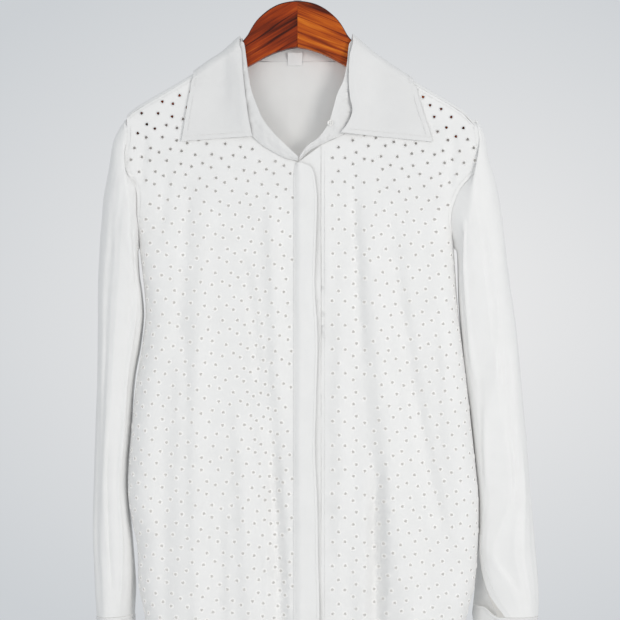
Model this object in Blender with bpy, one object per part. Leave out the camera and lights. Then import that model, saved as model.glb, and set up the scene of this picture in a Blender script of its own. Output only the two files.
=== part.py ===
import bpy
import bmesh
from collections import namedtuple
from math import asin, cos, hypot, pi, radians, sin, sqrt
from mathutils import Vector
from mathutils.geometry import delaunay_2d_cdt

# Sizes are in millimetres. x runs to the right as seen from the front, y to the back,
# and drop is measured down from the place where a rail bears inside the hook.
hemDrop = 850             # drop of the hem at the centre front
hemRise = 22              # how much higher the hem is at the side seams
wall = 1.2                # thickness of each cloth wall
seamGap = 0.4             # gap between two pieces that meet at a seam
sideGap = 1.1             # the same at the side seam, between the middles of the walls
shoulderRadius = 9.5      # how far the cloth stands from the hanger's middle on the shoulder
sideTurn = 26             # width of the rounding beside the side seam
frontFill = 20            # extra depth of the front low on the body
backFill = 14             # the same for the back
neckHalf = 77             # neck seam to the centre, on the shoulder
frontRoll = 5             # how far the back's cloth comes over the shoulder to the front
armGap = 1.7              # sleeve to panel at the armhole, along x
bandLeft = -0.6           # button band: its seam with the front that laps over
bandRight = 22            # its free edge
underRight = 27           # seam of the band below with the other front
bandProud = 4.0           # the outer band stands this far in front of the one below
buttonSize = 10
buttonThick = 1.5
netWide = 12              # spacing of the points inside each front
netHigh = 28
eyeletSide = 5.6          # side of a cut eyelet
repeatWide = 75.9         # the cutwork's repeat
repeatHigh = 27.5
hangerThick = 16
hangerDeep = 31           # depth of the wooden arm, square to its slope
hangerReach = 194         # centre line to the end of an arm
archRadius = 63
archTop = 66              # drop of the wood's highest point
hookWire = 3.6
hookBend = 21             # radius of the hook's bend, to the wire's middle

# the line that the cloth follows along the top of each arm
Ridge = namedtuple("Ridge", "away drop")
ridgeLine = [Ridge(0, 92), Ridge(58, 106), Ridge(66, 111.5), Ridge(77, 119), Ridge(100, 134),
             Ridge(120, 148), Ridge(140, 160.3), Ridge(160, 172), Ridge(180, 183.5),
             Ridge(192, 192), Ridge(202, 202.5), Ridge(215, 220)]

# armhole seam, then side seam; turned is 1 where the panel ends flat and 0 where it has
# come round to the side seam
Edge = namedtuple("Edge", "drop left right turned")
edges = [Edge(202, 197, 205, 1), Edge(224, 196, 209, 1), Edge(248, 200, 211, 1),
         Edge(262, 197, 205, 0.98), Edge(283, 186, 187, 0.9), Edge(314, 184.5, 177, 0.62),
         Edge(349, 182, 180, 0), Edge(421, 175, 185, 0), Edge(458, 178.5, 189.5, 0),
         Edge(519, 187.5, 196.5, 0), Edge(598, 194.5, 205, 0), Edge(633, 195.5, 208.5, 0),
         Edge(662, 191.5, 209, 0), Edge(692, 185, 208, 0), Edge(740, 183, 204, 0),
         Edge(776, 176, 195, 0), Edge(850, 172, 189, 0)]

# neck seam of each front, from the shoulder to the centre
Seam = namedtuple("Seam", "x drop")
neckRight = [Seam(-77, 124.5), Seam(-77, 145), Seam(-76, 165), Seam(-70.7, 191), Seam(-61.5, 212),
             Seam(-52, 222.4), Seam(-37.6, 234), Seam(-14.7, 246.6), Seam(-1, 250.5)]
neckLeft = [Seam(77, 124.5), Seam(77, 145), Seam(75, 165), Seam(70, 188), Seam(63, 206),
            Seam(54.6, 219), Seam(42, 225), Seam(27.4, 231)]

# soft folds that run down the body: the drops of its top and foot, x at the top, half way
# and at the foot, how far it reaches to each side at both ends, and how far it stands out
# (a trough is below 0)
Fold = namedtuple("Fold", "top foot topX midX footX topReach footReach out")
frontFolds = [Fold(235, 1000, -93, -110, -98, 17, 19, 5), Fold(480, 1000, -147, -147, -154, 14, 17, -4),
              Fold(270, 560, -24, -19, -12, 13, 14, 4), Fold(470, 1000, -67, -49, -42, 15, 17, 4),
              Fold(510, 960, -27, -15, -9, 13, 16, -10), Fold(350, 740, 57, 57, 60, 15, 16, 3),
              Fold(232, 960, 85, 112, 165, 15, 32, 6), Fold(560, 1000, 97, 97, 97, 13, 19, -13),
              Fold(300, 720, 112, 140, 182, 12, 15, -4)]
backFolds = [Fold(250, 1000, -140, -146, -150, 24, 28, 5), Fold(330, 1000, -95, -98, -102, 22, 26, -5),
             Fold(240, 1000, -45, -48, -52, 26, 28, 5), Fold(300, 1000, 5, 8, 10, 22, 26, -5),
             Fold(260, 1000, 52, 57, 62, 25, 28, 5), Fold(380, 1000, 105, 107, 108, 22, 26, -5),
             Fold(280, 1000, 150, 156, 160, 22, 26, 5)]

# sleeve rings below the armhole: outer and inner point, half depth and middle in y,
# and lean, how much further back the inner edge lies than the outer one
Ring = namedtuple("Ring", "outX outDrop inX inDrop half mid lean")
sleeveRight = [Ring(-205, 211, -187.5, 354, 21, 1, 0), Ring(-212.5, 227, -189.5, 366, 24, 3, 4),
               Ring(-218, 259, -190, 384, 27, 6, 9), Ring(-224, 292, -189, 404, 29, 9, 14),
               Ring(-228, 335, -188, 430, 31, 12, 18), Ring(-231, 392, -189, 464, 32, 14, 22),
               Ring(-231, 450, -192, 504, 32, 15, 24), Ring(-233, 530, -196, 560, 33, 16, 26),
               Ring(-235.5, 610, -200, 622, 33, 17, 26), Ring(-237, 680, -195, 684, 33, 16, 24),
               Ring(-234.5, 735, -190, 737, 34, 15, 22), Ring(-232, 774, -190, 774, 32, 14, 20)]
sleeveLeft = [Ring(214, 214, 188, 354, 21, 1, 0), Ring(221, 246, 190, 368, 24, 3, 4),
              Ring(229, 274, 191, 388, 27, 6, 9), Ring(236, 311, 191, 410, 29, 9, 14),
              Ring(242.5, 364, 191, 440, 31, 12, 18), Ring(250.5, 424, 194, 480, 32, 14, 22),
              Ring(258, 490, 200, 524, 33, 15, 24), Ring(264, 560, 206, 580, 34, 16, 26),
              Ring(270, 632, 212, 640, 35, 17, 26), Ring(276, 698, 212, 700, 36, 17, 24),
              Ring(279, 745, 208, 746, 35, 15, 22), Ring(278, 774, 204, 774, 33, 14, 20)]

# collar stand, from the front end round to the middle of the back: its seam with the
# body, its upper edge, and how far each stands in front of (below 0) or behind y = 0
Stand = namedtuple("Stand", "lowX lowDrop lowY topX topDrop topY")
standRight = [Stand(0.6, 250, -15, 0.6, 245, -17.5), Stand(-14.7, 246, -14.7, -7.5, 237.5, -18),
              Stand(-37.6, 233.4, -14, -25.3, 220.3, -18.5), Stand(-51.6, 221.8, -13, -39.3, 203, -19),
              Stand(-61, 211.4, -12.5, -46, 188, -20), Stand(-70, 190.6, -12, -52.5, 170, -20),
              Stand(-75.4, 165, -11.5, -56.5, 150, -19), Stand(-76.3, 145, -10.5, -59, 132, -17),
              Stand(-75.7, 127, -9.4, -61.5, 115, -12.5), Stand(-75.7, 118.6, 0, -64, 107.5, 0),
              Stand(-75.7, 127, 9.4, -61.5, 112, 12.5), Stand(-62, 130.2, 9.5, -52, 108, 14),
              Stand(-32, 133.6, 9.5, -28, 106.5, 14)]
standLeft = [Stand(1.5, 250, -12, 1.5, 245.5, -14), Stand(14.4, 237.6, -12, 11, 233, -16),
             Stand(37.4, 225.9, -12.5, 25.5, 222, -17.5), Stand(54, 218.4, -12.5, 36, 206, -19),
             Stand(62.4, 205.6, -12, 41, 190, -20), Stand(69.4, 187.6, -11.8, 45.5, 174, -20),
             Stand(74.4, 165, -11.5, 53, 157, -19), Stand(76.3, 145, -10.5, 57.2, 137, -17),
             Stand(75.7, 127, -9.4, 59.5, 116, -12.5), Stand(75.7, 118.6, 0, 63, 106, 0),
             Stand(75.7, 127, 9.4, 61.5, 112, 12.5), Stand(62, 130.2, 9.5, 52, 108, 14),
             Stand(32, 133.6, 9.5, 28, 106.5, 14)]
standBack = Stand(0, 133.6, 9.5, 0, 106, 14)

# collar fall, the same way: its inner (rolled) edge, its outer edge, and y at the roll
Fall = namedtuple("Fall", "inX inDrop inY outX outDrop face")
fallRight = [Fall(-52, 221.4, -16.4, -133.4, 227.5, -1), Fall(-55.5, 205, -19.6, -131, 213, -1),
             Fall(-58.5, 185, -20.5, -128.5, 196, -1), Fall(-61, 165, -20.5, -126, 182, -1),
             Fall(-63, 145, -19.5, -123.5, 169, -1), Fall(-64.5, 124, -16.5, -121.5, 157, -1),
             Fall(-66.5, 105.5, 0, -120, 144.4, 0), Fall(-64.5, 113, 16, -118, 160, 1),
             Fall(-56, 107, 18.8, -104, 176, 1), Fall(-32, 103.5, 19.5, -58, 186, 1)]
fallLeft = [Fall(49.6, 217.6, -18.4, 155.2, 228, -1), Fall(57, 208, -18.6, 151, 213, -1),
            Fall(63, 193, -18.4, 146, 199, -1), Fall(60, 176, -20.2, 142, 186, -1),
            Fall(58.8, 153, -20.8, 138.5, 174, -1), Fall(60, 129, -18.2, 136, 165, -1),
            Fall(63.5, 103.6, 0, 133, 152.6, 0), Fall(64.5, 113, 16, 128, 168, 1),
            Fall(56, 107, 18.8, 108, 180, 1), Fall(32, 103.5, 19.5, 60, 187, 1)]
fallBack = Fall(0, 103, 20, 0, 188, 1)

for old in list(bpy.data.objects):
    bpy.data.objects.remove(old, do_unlink=True)


# smooth value of a table's column at a value of its key column
def lookUp(rows, key, column, at):
    keys = [getattr(row, key) for row in rows]
    values = [getattr(row, column) for row in rows]
    if at <= keys[0]:
        return values[0]
    if at >= keys[-1]:
        return values[-1]
    i = max(k for k in range(len(keys)) if keys[k] <= at)
    slopes = []
    for k in (i, i + 1):
        low, high = max(k - 1, 0), min(k + 1, len(keys) - 1)
        slopes.append((values[high] - values[low]) / (keys[high] - keys[low]))
    step = keys[i + 1] - keys[i]
    t = (at - keys[i]) / step
    return ((2 * t**3 - 3 * t**2 + 1) * values[i] + (t**3 - 2 * t**2 + t) * step * slopes[0]
            + (3 * t**2 - 2 * t**3) * values[i + 1] + (t**3 - t**2) * step * slopes[1])


armTop, armLow = edges[0].drop, 349
armSteps = 12
armDrops = [(armTop + armLow) / 2 - (armLow - armTop) / 2 * cos(pi * k / armSteps)
            for k in range(armSteps + 1)]
lowerDrops = [372, 397, 421, 440, 458, 488, 519, 558, 598, 633, 662, 692, 716, 740, 776, 802,
              hemDrop - hemRise]


def ridgeDrop(x):
    return lookUp(ridgeLine, "away", "drop", abs(x))


def smoothStep(t):
    t = min(max(t, 0), 1)
    return t * t * (3 - 2 * t)


def foldHeight(folds, x, drop):
    height = 0
    for fold in folds:
        along = (drop - fold.top) / (fold.foot - fold.top)
        if not 0 < along < 1:
            continue
        early, late = (1 - along) * (1 - 2 * along), along * (2 * along - 1)
        middle = fold.topX * early + fold.footX * late + fold.midX * 4 * along * (1 - along)
        reach = fold.topReach + (fold.footReach - fold.topReach) * along
        across = abs(x - middle) / reach
        if across < 1:
            strength = smoothStep(along * 3.5) * smoothStep((1 - along) * 5)
            height += fold.out * strength * (0.5 + 0.5 * cos(pi * across))
    return height


# how far the cloth stands from y = 0, in front (face -1) or behind (face 1)
def bodyDepth(x, drop, face):
    below = drop - ridgeDrop(x)
    bend = 1 - min(max(below / shoulderRadius, 0), 1)
    depth = shoulderRadius * sqrt(1 - bend * bend)
    fill = frontFill if face < 0 else backFill
    depth += fill * smoothStep((drop - 150) / 420)
    return depth + foldHeight(frontFolds if face < 0 else backFolds, x, drop)


def edgeOf(side, drop):
    x = lookUp(edges, "drop", "left" if side < 0 else "right", drop)
    turned = asin(min(max(lookUp(edges, "drop", "turned", drop), 0), 1))
    return x, turned


# where the flat part of a panel ends and how much cloth is in its rounded side
def sideBend(side, drop, face):
    x, turned = edgeOf(side, drop)
    flatEnd = x - sideTurn * cos(turned)
    depth = bodyDepth(side * flatEnd, drop, face)
    return flatEnd, (pi / 2 - turned) * (sideTurn + depth) / 2, depth, turned


def clothHalf(side, drop, face):
    flatEnd, bend, depth, turned = sideBend(side, drop, face)
    return flatEnd + bend


# a point of the front or back at a distance along the cloth from the centre line
def bodyPoint(s, drop, face, out=0):
    side = -1 if s < 0 else 1
    flatEnd, bend, depth, turned = sideBend(side, drop, face)
    if abs(s) <= flatEnd or bend < 0.01:
        x = abs(s)
        y = bodyDepth(side * x, drop, face) + out
    else:
        angle = pi / 2 - (abs(s) - flatEnd) / bend * (pi / 2 - turned)
        x = flatEnd + (sideTurn + out) * cos(angle)
        y = (depth + out) * sin(angle)
    return Vector((side * x, face * y, -drop))


def material(name, colour, roughness, metallic=0.0):
    made = bpy.data.materials.new(name)
    made.use_nodes = True
    shader = made.node_tree.nodes["Principled BSDF"]
    shader.inputs["Base Color"].default_value = (*colour, 1)
    shader.inputs["Roughness"].default_value = roughness
    shader.inputs["Metallic"].default_value = metallic
    return made


eyeletCloth = material("EyeletCloth", (0.86, 0.86, 0.85), 0.85)
plainCloth = material("PlainCloth", (0.88, 0.88, 0.87), 0.8)
labelCloth = material("LabelCloth", (0.93, 0.93, 0.92), 0.6)
pearl = material("Pearl", (0.85, 0.84, 0.82), 0.3)
darkWood = material("DarkWood", (0.24, 0.07, 0.02), 0.3)
warmWood = material("WarmWood", (0.42, 0.14, 0.03), 0.3)
steel = material("Steel", (0.7, 0.7, 0.7), 0.25, 1.0)


def addObject(name, bm, look, smooth=True):
    mesh = bpy.data.meshes.new(name)
    bmesh.ops.scale(bm, vec=(0.001, 0.001, 0.001), verts=bm.verts)
    bm.to_mesh(mesh)
    bm.free()
    mesh.materials.append(look)
    if smooth:
        mesh.shade_smooth()
        mesh.set_sharp_from_angle(angle=radians(40))
    made = bpy.data.objects.new(name, mesh)
    bpy.context.scene.collection.objects.link(made)
    return made


# a wall of cloth whose middle lies on the given points
def addCloth(name, points, faces, look, thick=wall):
    bm = bmesh.new()
    verts = [bm.verts.new(point) for point in points]
    for face in faces:
        corners = [verts[i] for i in face]
        if len(set(corners)) > 2:
            bm.faces.new(corners)
    bmesh.ops.remove_doubles(bm, verts=bm.verts, dist=0.01)
    loose = [v for v in bm.verts if not v.link_faces]
    bmesh.ops.delete(bm, geom=loose, context="VERTS")
    bmesh.ops.recalc_face_normals(bm, faces=bm.faces)
    made = addObject(name, bm, look)
    shell = made.modifiers.new("Wall", "SOLIDIFY")
    shell.thickness = thick * 0.001
    shell.offset = 0
    return made


def gridFaces(rows, columns, keep=lambda row, column: True):
    return [(r * columns + c, r * columns + c + 1, (r + 1) * columns + c + 1, (r + 1) * columns + c)
            for r in range(rows - 1) for c in range(columns - 1) if keep(r, c)]


# the places of the cutwork's holes on one front: x, drop and the way the tip points.
# Two holes of each repeat are cut here, the tips of its two kinds of triangle.
def eyeletPlaces(axisX, firstDrop, lean, rowTilt, xLow, xHigh):
    places = []
    for column in range(-4, 5):
        for row in range(-4, 26):
            for shiftX, shiftDrop, tip in ((0, 0, 1), (repeatWide / 2, 24.1, -1)):
                drop = firstDrop + row * repeatHigh + shiftDrop
                x = axisX + column * repeatWide + shiftX
                drop += (x - axisX) * rowTilt
                x += lean * (drop - firstDrop)
                if xLow < x < xHigh:
                    places.append((x, drop, tip))
    return places


def insideOutline(x, drop, outline):
    inside = False
    for (ax, ay), (bx, by) in zip(outline, outline[1:] + outline[:1]):
        if (ay > drop) != (by > drop) and x < (bx - ax) * (drop - ay) / (by - ay) + ax:
            inside = not inside
    return inside


def nearOutline(x, drop, outline, limit):
    for (ax, ay), (bx, by) in zip(outline, outline[1:] + outline[:1]):
        lengthSquared = (bx - ax) ** 2 + (by - ay) ** 2
        t = min(max(((x - ax) * (bx - ax) + (drop - ay) * (by - ay)) / lengthSquared, 0), 1)
        if hypot(ax + t * (bx - ax) - x, ay + t * (by - ay) - drop) < limit:
            return True
    return False


def hemDropAt(s):
    return hemDrop - hemRise * smoothStep(abs(s) / 210)


# a front: its outline in the cloth, a net of points inside, and the cut eyelets
def frontOutline(side, inner, neck):
    outline = [(inner, hemDropAt(inner))]
    outline.append((neck[-1].x, neck[-1].drop + 0.4))
    outline += [(seam.x, seam.drop) for seam in reversed(neck[:-1])]
    shoulderEnd = edges[0].left if side < 0 else edges[0].right
    for away in (90, 105, 122, 140, 158, 176, 190, shoulderEnd - 0.5):
        outline.append((side * away, ridgeDrop(away) + frontRoll))
    for drop in armDrops[2:] + lowerDrops:
        outline.append((side * (clothHalf(side, drop, -1) - sideGap / 2), drop))
    reach = outline[-1][0]
    for share in (0.8, 0.6, 0.4, 0.2):
        s = inner + (reach - inner) * share
        outline.append((s, hemDropAt(s)))
    return outline


def addFront(name, side, inner, neck, holes):
    outline = frontOutline(side, inner, neck)
    points = [Vector(p) for p in outline]
    loops = [list(range(len(outline)))]
    for x, drop, tip in holes:
        if not insideOutline(x, drop, outline) or nearOutline(x, drop, outline, 6):
            continue
        start = len(points)
        for corner in range(3):
            angle = radians(90 + 120 * corner) * tip
            points.append(Vector((x + cos(angle) * eyeletSide / sqrt(3),
                                  drop - sin(angle) * eyeletSide / sqrt(3))))
        loops.append([start, start + 1, start + 2])
    holeCentres = [sum((points[i] for i in loop), Vector((0, 0))) / 3 for loop in loops[1:]]
    for row in range(28):
        for column in range(20):
            s = inner + side * (netWide * column + (netWide / 2 if row % 2 else 0))
            drop = 130 + netHigh * row
            clear = all((centre - Vector((s, drop))).length > 8 for centre in holeCentres)
            if clear and insideOutline(s, drop, outline) and not nearOutline(s, drop, outline, 8):
                points.append(Vector((s, drop)))
    edgePairs = [pair for loop in loops for pair in zip(loop, loop[1:] + loop[:1])]
    flat, flatEdges, triangles, *rest = delaunay_2d_cdt(points, edgePairs, [], 0, 1e-5)
    kept = []
    for triangle in triangles:
        middle = sum((flat[i] for i in triangle), Vector((0, 0))) / 3
        inHole = any((centre - middle).length < eyeletSide * 0.28 for centre in holeCentres)
        if insideOutline(middle.x, middle.y, outline) and not inHole:
            kept.append(triangle)
    made = [bodyPoint(p.x, p.y, -1) for p in flat]
    return addCloth(name, made, kept, eyeletCloth)


frontHolesRight = eyeletPlaces(-37.9, 254.8, 0.0, -0.03, -230, -6)
frontHolesLeft = eyeletPlaces(46.8, 235, 0.0, -0.05, 34, 240)
addFront("front_right", -1, bandLeft - seamGap / 2, neckRight, frontHolesRight)
addFront("front_left", 1, underRight + seamGap / 2, neckLeft, frontHolesLeft)


# the back: rolled over each shoulder, with the neck seam between them
def addBack():
    shares = [-1, -0.9, -0.8, -0.7, -0.6, -0.5, -0.39, -0.26, -0.13, 0, 0.12, 0.25, 0.376, 0.5, 0.6, 0.7,
              0.8, 0.9, 1]
    rollTurns = (-50, -22, 6, 35, 65)
    sideDrops = [ridgeDrop(200) + shoulderRadius] + armDrops[3:] + lowerDrops
    points = []
    for turn in rollTurns:
        for share in shares:
            end = (edges[0].left if share < 0 else edges[0].right) - 0.5
            x = share * end
            y = shoulderRadius * sin(radians(turn))
            drop = ridgeDrop(x) + shoulderRadius * (1 - cos(radians(turn)))
            points.append(Vector((x, y, -drop)))
    for sideDrop in sideDrops:
        down = (sideDrop - sideDrops[0]) / (sideDrops[-1] - sideDrops[0])
        for share in shares:
            side = -1 if share < 0 else 1
            end = (edges[0].left if share < 0 else edges[0].right) - 0.5
            inNeck = min(max(1 - abs(share * end) / neckHalf, 0) * 2.2, 1)
            top = ridgeDrop(max(abs(share * end), neckHalf)) + shoulderRadius + 6 * inNeck
            drop = top + (hemDropAt(share * 200) - top) * down
            drop += (sideDrop - drop) * smoothStep(abs(share) * 1.0) * smoothStep(down * 12)
            half = clothHalf(side, sideDrop, 1) - sideGap / 2
            s = share * (end + (half - end) * smoothStep(down * 12))
            points.append(bodyPoint(s, drop, 1))
    rollRows = len(rollTurns)
    columns = len(shares)

    def keep(row, column):
        onNeck = shares[column] >= -0.4 and shares[column + 1] <= 0.38
        return row >= rollRows or not onNeck
    addCloth("back", points, gridFaces(rollRows + len(sideDrops), columns, keep), plainCloth)


addBack()


# a sleeve: its first ring is the armhole, the others hang below it
# the slit of one sleeve: its edge's angle round each of the last rings
slitColumn = 9
slitTurns = [135, 163, 120, 94]
slitRings = len(slitTurns)


def slitAngle(k, ring, ringCount):
    straight = 15.0 * k
    behind = ring - (ringCount - slitRings)
    if behind < 0 or k >= 2 * slitColumn - 6:
        return radians(straight)
    edge = slitTurns[behind]
    if k <= slitColumn:
        return radians(straight * edge / 135)
    return radians(edge + (180 - edge) * (k - slitColumn) / 3)


def sleevePoints(side, rings, around=2 * armSteps):
    key = "left" if side < 0 else "right"
    ring = []
    for k in range(around):
        angle = 2 * pi * k / around
        drop = armDrops[k if k <= armSteps else around - k]
        x = lookUp(edges, "drop", key, drop) + armGap
        turned = lookUp(edges, "drop", "turned", drop)
        deep = bodyDepth(side * (x - 2), drop, -1) * min(max(turned, 0), 1)
        deep = min(deep, 1.2 + 40 * sqrt(max(drop - armTop, 0) / 147))
        ring.append(Vector((side * x, -deep if sin(angle) > 0.001 else deep * (sin(angle) < -0.001), -drop)))
    made = [ring]
    for number, row in enumerate(rings):
        middle = Vector(((row.outX + row.inX) / 2, row.mid, -(row.outDrop + row.inDrop) / 2))
        half = Vector(((row.outX - row.inX) / 2, -row.lean / 2, -(row.outDrop - row.inDrop) / 2))
        ring = []
        for k in range(around):
            angle = slitAngle(k, number, len(rings)) if side > 0 else 2 * pi * k / around
            ring.append(middle + half * cos(angle) + Vector((0, -row.half * sin(angle), 0)))
        made.append(ring)
    return made


def addTube(name, rings, look, slit=False):
    around = len(rings[0])
    points = [point for ring in rings for point in ring]
    faces = []
    for r in range(len(rings) - 1):
        for k in range(around):
            if slit and r >= len(rings) - slitRings + 1 and slitColumn <= k < 12:
                continue
            nextOne = (k + 1) % around
            faces.append((r * around + k, r * around + nextOne,
                          (r + 1) * around + nextOne, (r + 1) * around + k))
    return addCloth(name, points, faces, look)


addTube("sleeve_right", sleevePoints(-1, sleeveRight), plainCloth)
addTube("sleeve_left", sleevePoints(1, sleeveLeft), plainCloth, slit=True)


# collar stand: one band from the front end of one side round to the other
def standRings(row, turns=(-56, -28, 0, 28, 56)):
    if row.lowY:
        low = Vector((row.lowX, row.lowY, -row.lowDrop))
        top = Vector((row.topX, row.topY, -row.topDrop))
        bulge = Vector((0, -1.0 if row.lowY < 0 else 1.0, 0))
        return [[low, low.lerp(top, 0.5) + bulge, top]]
    rings = []
    for turn in turns:
        back, down = sin(radians(turn)), 1 - cos(radians(turn))
        low = Vector((row.lowX, shoulderRadius * back, -row.lowDrop - shoulderRadius * down))
        top = Vector((row.topX, 12.5 * back, -row.topDrop - 9 * down))
        rings.append([low, low.lerp(top, 0.5) + Vector((0, 1.0 * back, 0.6)), top])
    return rings


# rings of both sides in one run, from the right front end over the back to the left one
def wholeCollar(right, back, left, makeRings):
    rings = []
    for row in right + [back]:
        rings += makeRings(row)
    for row in reversed(left):
        rings += list(reversed(makeRings(row)))
    return rings


standWhole = wholeCollar(standRight, standBack, standLeft, standRings)
addCloth("collar_stand", [point for ring in standWhole for point in ring],
         gridFaces(len(standWhole), 3), plainCloth)


# collar fall: from its roll it lies down on the fronts, the shoulders and the back
fallShares = (0, 0.08, 0.2, 0.4, 0.7, 1)


def fallRings(row, turns=(-75, -45, -15, 15, 45, 75)):
    rings = []
    for turn in turns if row.face == 0 else (0,):
        ring = []
        for share in fallShares:
            x = row.inX + (row.outX - row.inX) * share
            drop = row.inDrop + (row.outDrop - row.inDrop) * share
            if row.face == 0:
                lift = 2.2 + 4.5 * (1 - smoothStep(share * 2.5))
                back, up = sin(radians(turn)), cos(radians(turn))
                radius = shoulderRadius + lift
                ring.append(Vector((x, radius * back, radius * up - ridgeDrop(x) - shoulderRadius)))
                continue
            lying = row.face * (bodyDepth(x, max(drop, ridgeDrop(x) + shoulderRadius), row.face) + 2.4)
            blend = smoothStep(share * 2.6)
            ring.append(Vector((x, row.inY * (1 - blend) + lying * blend, -drop)))
        rings.append(ring)
    return rings


fallWhole = wholeCollar(fallRight, fallBack, fallLeft, fallRings)
addCloth("collar_fall", [point for ring in fallWhole for point in ring],
         gridFaces(len(fallWhole), len(fallShares)), plainCloth)


# the two bands of the hidden button front; each row is drop and the band's two edges
Band = namedtuple("Band", "drop low high")
outerRows = [Band(252, -0.6, 4), Band(256, -0.6, 14), Band(264, -0.6, 18.6), Band(275, -0.6, 20.6),
             Band(295, -0.6, 22.4), Band(387, -0.6, 19.6), Band(413, -0.6, 20.6), Band(440, -0.6, 22.4),
             Band(466, -0.6, 23), Band(520, -0.6, 21.5), Band(580, -0.6, 20), Band(640, -0.6, 22.5),
             Band(700, -0.6, 23.5), Band(760, -0.6, 25), Band(hemDrop - 1, -0.6, 25)]
underRows = [Band(drop, 1.2, 26.8) for drop in (251.2, 268, *range(290, 840, 45), hemDrop - 1)]


bandShares = (0, 0.25, 0.5, 0.75, 1)


def addBand(name, rows, out, slant=0):
    points = []
    for row in rows:
        for share in bandShares:
            x = row.low + (row.high - row.low) * share
            rise = slant * share * (1 - smoothStep((row.drop - rows[0].drop) / 60))
            points.append(bodyPoint(x, row.drop - rise, -1, out))
    return addCloth(name, points, gridFaces(len(rows), len(bandShares)), plainCloth)


addBand("band_outer", outerRows, bandProud)
addBand("band_under", underRows, 0, slant=19)      # its top follows the neck seam


def addButton(name, centre, facing, size=buttonSize, thick=buttonThick):
    bm = bmesh.new()
    turn = facing.to_track_quat("Z", "Y").to_matrix().to_4x4()
    turn.translation = centre
    bmesh.ops.create_cone(bm, cap_ends=True, segments=12, radius1=size / 2, radius2=size / 2,
                          depth=thick, matrix=turn)
    return addObject(name, bm, pearl)


# hidden buttons between the bands, a little clear of both
for number, drop in enumerate((322, 418, 514, 610, 706, 802)):
    seat = bodyPoint(11, drop, -1, bandProud / 2)
    addButton("button_front_%d" % (number + 1), seat, Vector((0, -1, 0)))


# cuffs: the first ring meets the sleeve's last one; lean is as on the sleeves
Cuff = namedtuple("Cuff", "drop midX midY halfX halfY lean")
cuffRightRows = [Cuff(774.6, -211, 14, 21, 32, 20), Cuff(784, -210.5, 13.5, 21.5, 29, 12),
                 Cuff(796, -210.5, 13, 21.5, 26, 5), Cuff(816, -210, 12, 21.5, 25, 3),
                 Cuff(836, -210, 11, 21, 25, 2)]
cuffLeftRows = [Cuff(774.6, 241, 14, 37, 33, 20), Cuff(784, 241, 13.5, 36, 29, 12),
                Cuff(796, 241, 13, 35, 26, 5), Cuff(816, 241, 12, 34, 25, 3),
                Cuff(836, 241, 11, 33, 25, 2)]


def cuffRings(rows, side, corner=0, around=24):
    rings = []
    for number, row in enumerate(rows):
        ring = []
        for k in range(around):
            angle = 2 * pi * k / around
            raised = corner if number == 0 and 8 <= k <= 11 else 0
            ring.append(Vector((row.midX + side * row.halfX * cos(angle),
                                row.midY - row.lean / 2 * cos(angle) - row.halfY * sin(angle),
                                raised * (1 if k > 8 else 0.6) - row.drop)))
        rings.append(ring)
    return rings


addTube("cuff_right", cuffRings(cuffRightRows, -1), plainCloth)
addTube("cuff_left", cuffRings(cuffLeftRows, 1, corner=11), plainCloth)
for name, row in (("button_cuff_right", cuffRightRows[2]), ("button_cuff_left", cuffLeftRows[2])):
    seat = Vector((row.midX, row.midY - row.halfY - wall / 2 - buttonThick / 2 - 0.35, -row.drop - 10))
    addButton(name, seat, Vector((0, -1, 0)))


# size label, hung inside the back neck
def addBox(name, low, high, look):
    bm = bmesh.new()
    bmesh.ops.create_cube(bm, size=1)
    for vert in bm.verts:
        for axis in range(3):
            vert.co[axis] = high[axis] if vert.co[axis] > 0 else low[axis]
    return addObject(name, bm, look, smooth=False)


addBox("label_size", (-11.5, 7.5, -138.5), (5.5, 8.4, -123), labelCloth)


# hanger: an arch at the neck and two straight arms, in two halves glued at the centre
def hangerTop(away):
    arch = archTop + archRadius - sqrt(max(archRadius**2 - away**2, 0))
    arm = ridgeDrop(away) + shoulderRadius - hangerThick / 2 + 0.2 + max(away - 170, 0) * 0.1
    return arch if away < 57 else max(arm, arch if away < archRadius - 2 else 0)


def hangerLow(away):
    under = [(0, 118.2), (12, 120.3), (27, 125), (37, 129.6), (48, 135.7), (59, 141.8), (80, 156)]
    for (a, low), (b, high) in zip(under, under[1:]):
        if a <= away <= b:
            return low + (high - low) * (away - a) / (b - a)
    return hangerTop(away) + hangerDeep * 1.17


def addHangerHalf(name, side, look):
    stations = [0.15, 8, 16, 24, 32, 40, 47, 53, 57, 60, 63, 68, 77, 90, 105, 120, 136, 152, 168, 180,
                188, hangerReach]
    bm = bmesh.new()
    loops = []
    for away in stations:
        top, low = hangerTop(away), hangerLow(away)
        shrink = 1.0
        if away > 180:
            shrink = 0.8 if away < hangerReach else 0.45
        middle, half = (top + low) / 2, (low - top) / 2
        top, low = middle - half * shrink, middle + half * shrink
        if away > 180:
            top, low = hangerTop(away), hangerTop(away) + (low - top)
        face = hangerThick / 2
        low = max(low, top + face * 2)
        upper = [(face * cos(radians(turn)), top + face * (1 - sin(radians(turn))))
                 for turn in (8, 32, 57, 82, 98, 123, 148, 172)]
        lower = [(-face, low - 4), (4 - face, low), (face - 4, low), (face, low - 4)]
        ring = upper + lower
        loops.append([bm.verts.new((side * away, y, -drop)) for y, drop in ring])
    for first, second in zip(loops, loops[1:]):
        for k in range(len(first)):
            after = (k + 1) % len(first)
            bm.faces.new((first[k], first[after], second[after], second[k]))
    bm.faces.new(loops[0])
    bm.faces.new(loops[-1])
    bmesh.ops.recalc_face_normals(bm, faces=bm.faces)
    return addObject(name, bm, look)


addHangerHalf("hanger_right", -1, darkWood)
addHangerHalf("hanger_left", 1, warmWood)


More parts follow.
